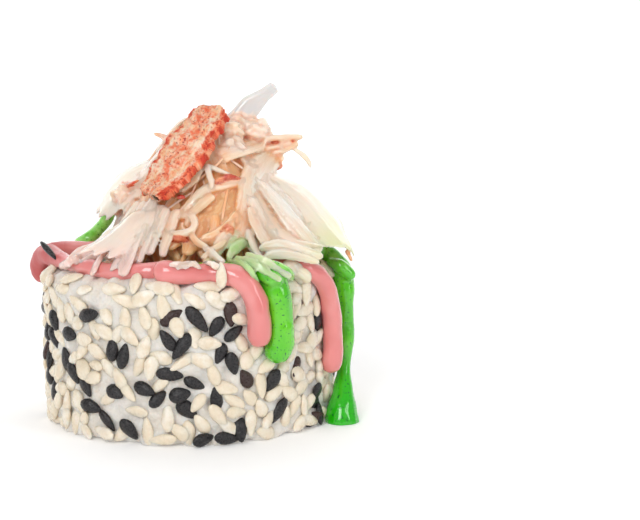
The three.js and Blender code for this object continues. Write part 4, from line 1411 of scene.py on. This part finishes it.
def makeHeap():
    draw = random.Random(heap["seed"])
    onPhoto = [dict(spec, route=[heapPoint(*stop) for stop in spec["path"]]) for spec in traced]
    for spec in fan:
        route = [depthPoint(*stop) for stop in spec["hung"]]
        onPhoto.append(dict(spec, thick=heap["fanThick"], route=route))
    tree = touchTree(riceBody, pinkPiece, greenPiece)
    onPhoto += [dict(spec, route=[laidPoint(tree, *spot) for spot in spec["spots"]]) for spec in laid]
    specs = [stick] + onPhoto + slopeShreds() + looseShreds(fineShreds, draw)
    parts = shredParts(specs, draw, heap["rows"], heap["sides"], crumbs + patchCrumbs(), drapes)
    core = heapCore()
    corePoints = np.array([point.co for point in core.data.vertices]) / mm
    strips = joinPieces("crabShreds", [meshPiece("strips", parts["points"], parts["faces"]), core])
    fuse(strips, heap["voxel"], 1)
    applyModifier(strips, "DECIMATE", ratio=min(1, heap["mostFaces"] / 2 / len(strips.data.polygons)))
    dropStrays(strips)
    carryValues(strips, parts, corePoints)
    settle(strips, crabFinish("crabFinish", 1.7, 0.9), "crab_shreds", "crab_heap")
    parts = shredParts(looseShreds(threads, draw), draw, threads["rows"], threads["sides"])
    fine = meshPiece("crabThreads", parts["points"], parts["faces"])
    pointVectors(fine, "lay", parts["lay"])
    for value in pointKinds:
        pointValues(fine, value, parts[value])
    settle(fine, crabFinish("threadFinish", 0.3, 0.2), "crab_shreds")


makeHeap()


# The flake with its orange skin
flake = {
    "route": [(3.5, -1.8, 43.2), (1.2, -5.2, 39.6), (-1.5, -8.4, 36.2), (-5.4, -10.8, 31.6)],
    "widths": (4.2, 6.2, 6.8, 6.2, 4.4),
    "thick": 2.2,
    "rows": 90,
    "sides": 64,
    "crumble": 0.4,
    "seed": 29,
}


def flakeFinish():
    material, shader, place = newFinish("flakeFinish", moist(0.6, 0.2, 0.45), "UV")
    side = place.part(1) / mm
    mottle = place.noise(0.9, 6.0, 0.7)
    fibre = place.stretched((0.35, 1.6, 1)).noise(1.2, 4.0, 0.6)
    speck = place.noise(2.6, 2.0).ramp(0.57, 0.66)
    lean = side + 4 * place.noise(0.35, 3.0) - 2
    streak = lean.ramp(-2.2, 0.0) * (1 - lean.ramp(0.4, 2.4))
    pale = fibre.ramp(0.35, 0.65).mix(colour(1.0, 0.58, 0.32), colour(1.0, 0.8, 0.62))
    rim = (side * side + 5 * place.noise(0.6, 3.0) - 2.5).ramp(4, 9)
    skin = (mottle + 0.12 * streak + 0.2 * rim).ramp(0.46, 0.72).mix(pale, colour(0.93, 0.2, 0.085))
    skin = (rim * mottle.ramp(0.46, 0.6)).mix(skin, colour(0.66, 0.05, 0.022))
    feed(
        shader,
        Base_Color=(speck * (0.2 + 0.7 * streak + 0.6 * rim)).mix(skin, colour(0.42, 0.02, 0.012)),
        Roughness=0.34 + 0.3 * mottle,
        Normal=(mottle + 0.5 * fibre).bump(0.5),
    )
    return material


def makeFlake():
    draw = random.Random(flake["seed"])
    spec = dict(flake, twist=0, cup=0.05, ends=0.08)
    points, faces, lay = ribbon(spec, draw, flake["rows"], flake["sides"])
    piece = meshPiece("crabFlake", points, faces)
    corners = np.empty(len(piece.data.loops), int)
    piece.data.loops.foreach_get("vertex_index", corners)
    piece.data.uv_layers.new(name="lay").data.foreach_set("uv", (lay[corners] * mm).ravel())
    pushOut(piece, lambda place: flake["crumble"] * (
        1.1 * noise.noise(place * 0.6) + 0.8 * noise.noise(place * 1.7) + 0.7 * noise.noise(place * 5)
    ))
    settle(piece, flakeFinish(), "crab_flake", "crab_flake")


makeFlake()


# Nori and fillings keep their solids
def noriFinish():
    material, shader, place = newFinish("noriFinish", {"Roughness": 0.5, "IOR": 1.45})
    wrinkle = place.noise(0.8, 4.0)
    feed(
        shader,
        Base_Color=wrinkle.mix(colour(0.004, 0.006, 0.004), colour(0.02, 0.028, 0.016)),
        Normal=wrinkle.bump(0.3),
    )
    return material


def cheeseFinish():
    material, shader, place = newFinish("cheeseFinish", moist(1.2, 0.3, 0.4))
    smear = place.noise(0.3, 3.0)
    feed(
        shader,
        Base_Color=smear.mix(colour(0.88, 0.85, 0.76), colour(0.93, 0.92, 0.87)),
        Normal=smear.bump(0.3),
    )
    return material


def avocadoFinish():
    material, shader, place = newFinish("avocadoFinish", moist(1.0, 0.25, 0.36))
    smear = place.noise(0.18, 2.0).ramp(0.35, 0.65)
    feed(
        shader,
        Base_Color=smear.mix(colour(0.42, 0.5, 0.08), colour(0.68, 0.68, 0.22)),
        Normal=place.noise(0.9).bump(0.15),
    )
    return material


def fillingFinish():
    material, shader, place = newFinish("fillingFinish", moist(1.2, 0.35, 0.36))
    streak = place.stretched((0.3, 1.5, 1)).noise(1.0, 4.0)
    feed(
        shader,
        Base_Color=streak.ramp(0.38, 0.62).mix(colour(0.82, 0.4, 0.36), colour(0.9, 0.82, 0.79)),
        Normal=streak.bump(0.5),
    )
    return material


def dressSolids():
    avocado = avocadoFinish()
    finishes = {
        "nori": noriFinish(),
        "cream_cheese": cheeseFinish(),
        "avocado_1": avocado,
        "avocado_2": avocado,
        "crab_filling": fillingFinish(),
    }
    for node, material in finishes.items():
        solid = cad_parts[node]
        solid.data.materials.clear()
        solid.data.materials.append(material)
    print("solids dressed")


dressSolids()


# Floor and light
studio = {
    "floorSize": 6.0,
    "wallBack": 0.9,
    "wallHeight": 1.2,
    "fold": 0.3,  # rounding between floor and wall
    "floorGrey": 0.95,
    "glow": (0.12, 0.45),  # light of its own, near and far off
    "glowReach": (0.06, 0.5),  # where it changes, in square metres
    "world": 0.38,
    "lamps": [
        # place and aim in metres, width and height in metres, watts
        ((-0.2, -0.5, 0.36), (0, 0, 0.02), (0.18, 0.42), 1.8),
        ((0.42, -0.36, 0.25), (0, 0, 0.02), (0.12, 0.4), 0.7),
        ((0.0, 0.1, 0.7), (0, 0, 0.02), (0.6, 0.6), 1.1),
        ((0.3, 0.5, 0.3), (0, 0, 0.03), (0.4, 0.4), 0.5),
        ((-0.35, 0.45, 0.25), (0, 0, 0.03), (0.3, 0.4), 0.3),
    ],
}


def makeFloor():
    deselectAll()
    bpy.ops.mesh.primitive_plane_add(size=studio["floorSize"], location=(0, 0, -0.05 * mm))
    floor = bpy.context.object
    bpy.ops.object.transform_apply(location=True, rotation=False, scale=False)
    floor.name = "floor"
    backEdge = studio["floorSize"] / 2 / mm
    editEdges(floor, lambda point: point.y > backEdge - 1)
    bpy.ops.transform.translate(value=(0, studio["wallBack"] - studio["floorSize"] / 2, 0))
    bpy.ops.mesh.extrude_region_move(TRANSFORM_OT_translate={"value": (0, 0, studio["wallHeight"])})
    foldLine = studio["wallBack"] / mm
    editEdges(floor, lambda point: abs(point.y - foldLine) < 1 and point.z < 1)
    bpy.ops.mesh.bevel(offset=studio["fold"], segments=10, affect="EDGES")
    activate(floor)
    bpy.ops.object.shade_smooth()
    material, shader, place = newFinish("floorFinish", {"Roughness": 0.7, "Specular IOR Level": 0.2})
    shader.inputs["Emission Strength"].default_value = 1
    grey = studio["floorGrey"]
    near, far = studio["glow"]
    away = place.part(0) * place.part(0) + place.part(1) * place.part(1)
    shader.inputs["Base Color"].default_value = colour(grey, grey, grey)
    glow = away.ramp(*studio["glowReach"]).mix(colour(near, near, near), colour(far, far, far))
    feed(shader, Emission_Color=glow)
    floor.data.materials.append(material)


def makeLights():
    world = bpy.data.worlds.new("studio")
    bpy.context.scene.world = world
    world.use_nodes = True
    world.node_tree.nodes["Background"].inputs["Color"].default_value = colour(1, 1, 1)
    world.node_tree.nodes["Background"].inputs["Strength"].default_value = studio["world"]
    for place, aim, size, watts in studio["lamps"]:
        deselectAll()
        turn = (Vector(aim) - Vector(place)).to_track_quat("-Z", "Y").to_euler()
        bpy.ops.object.light_add(type="AREA", location=place, rotation=turn)
        lamp = bpy.context.object.data
        lamp.shape = "RECTANGLE"
        lamp.size, lamp.size_y = size
        lamp.energy = watts
    bpy.context.scene.view_settings.view_transform = "Standard"


makeFloor()
makeLights()
print("studio ready")
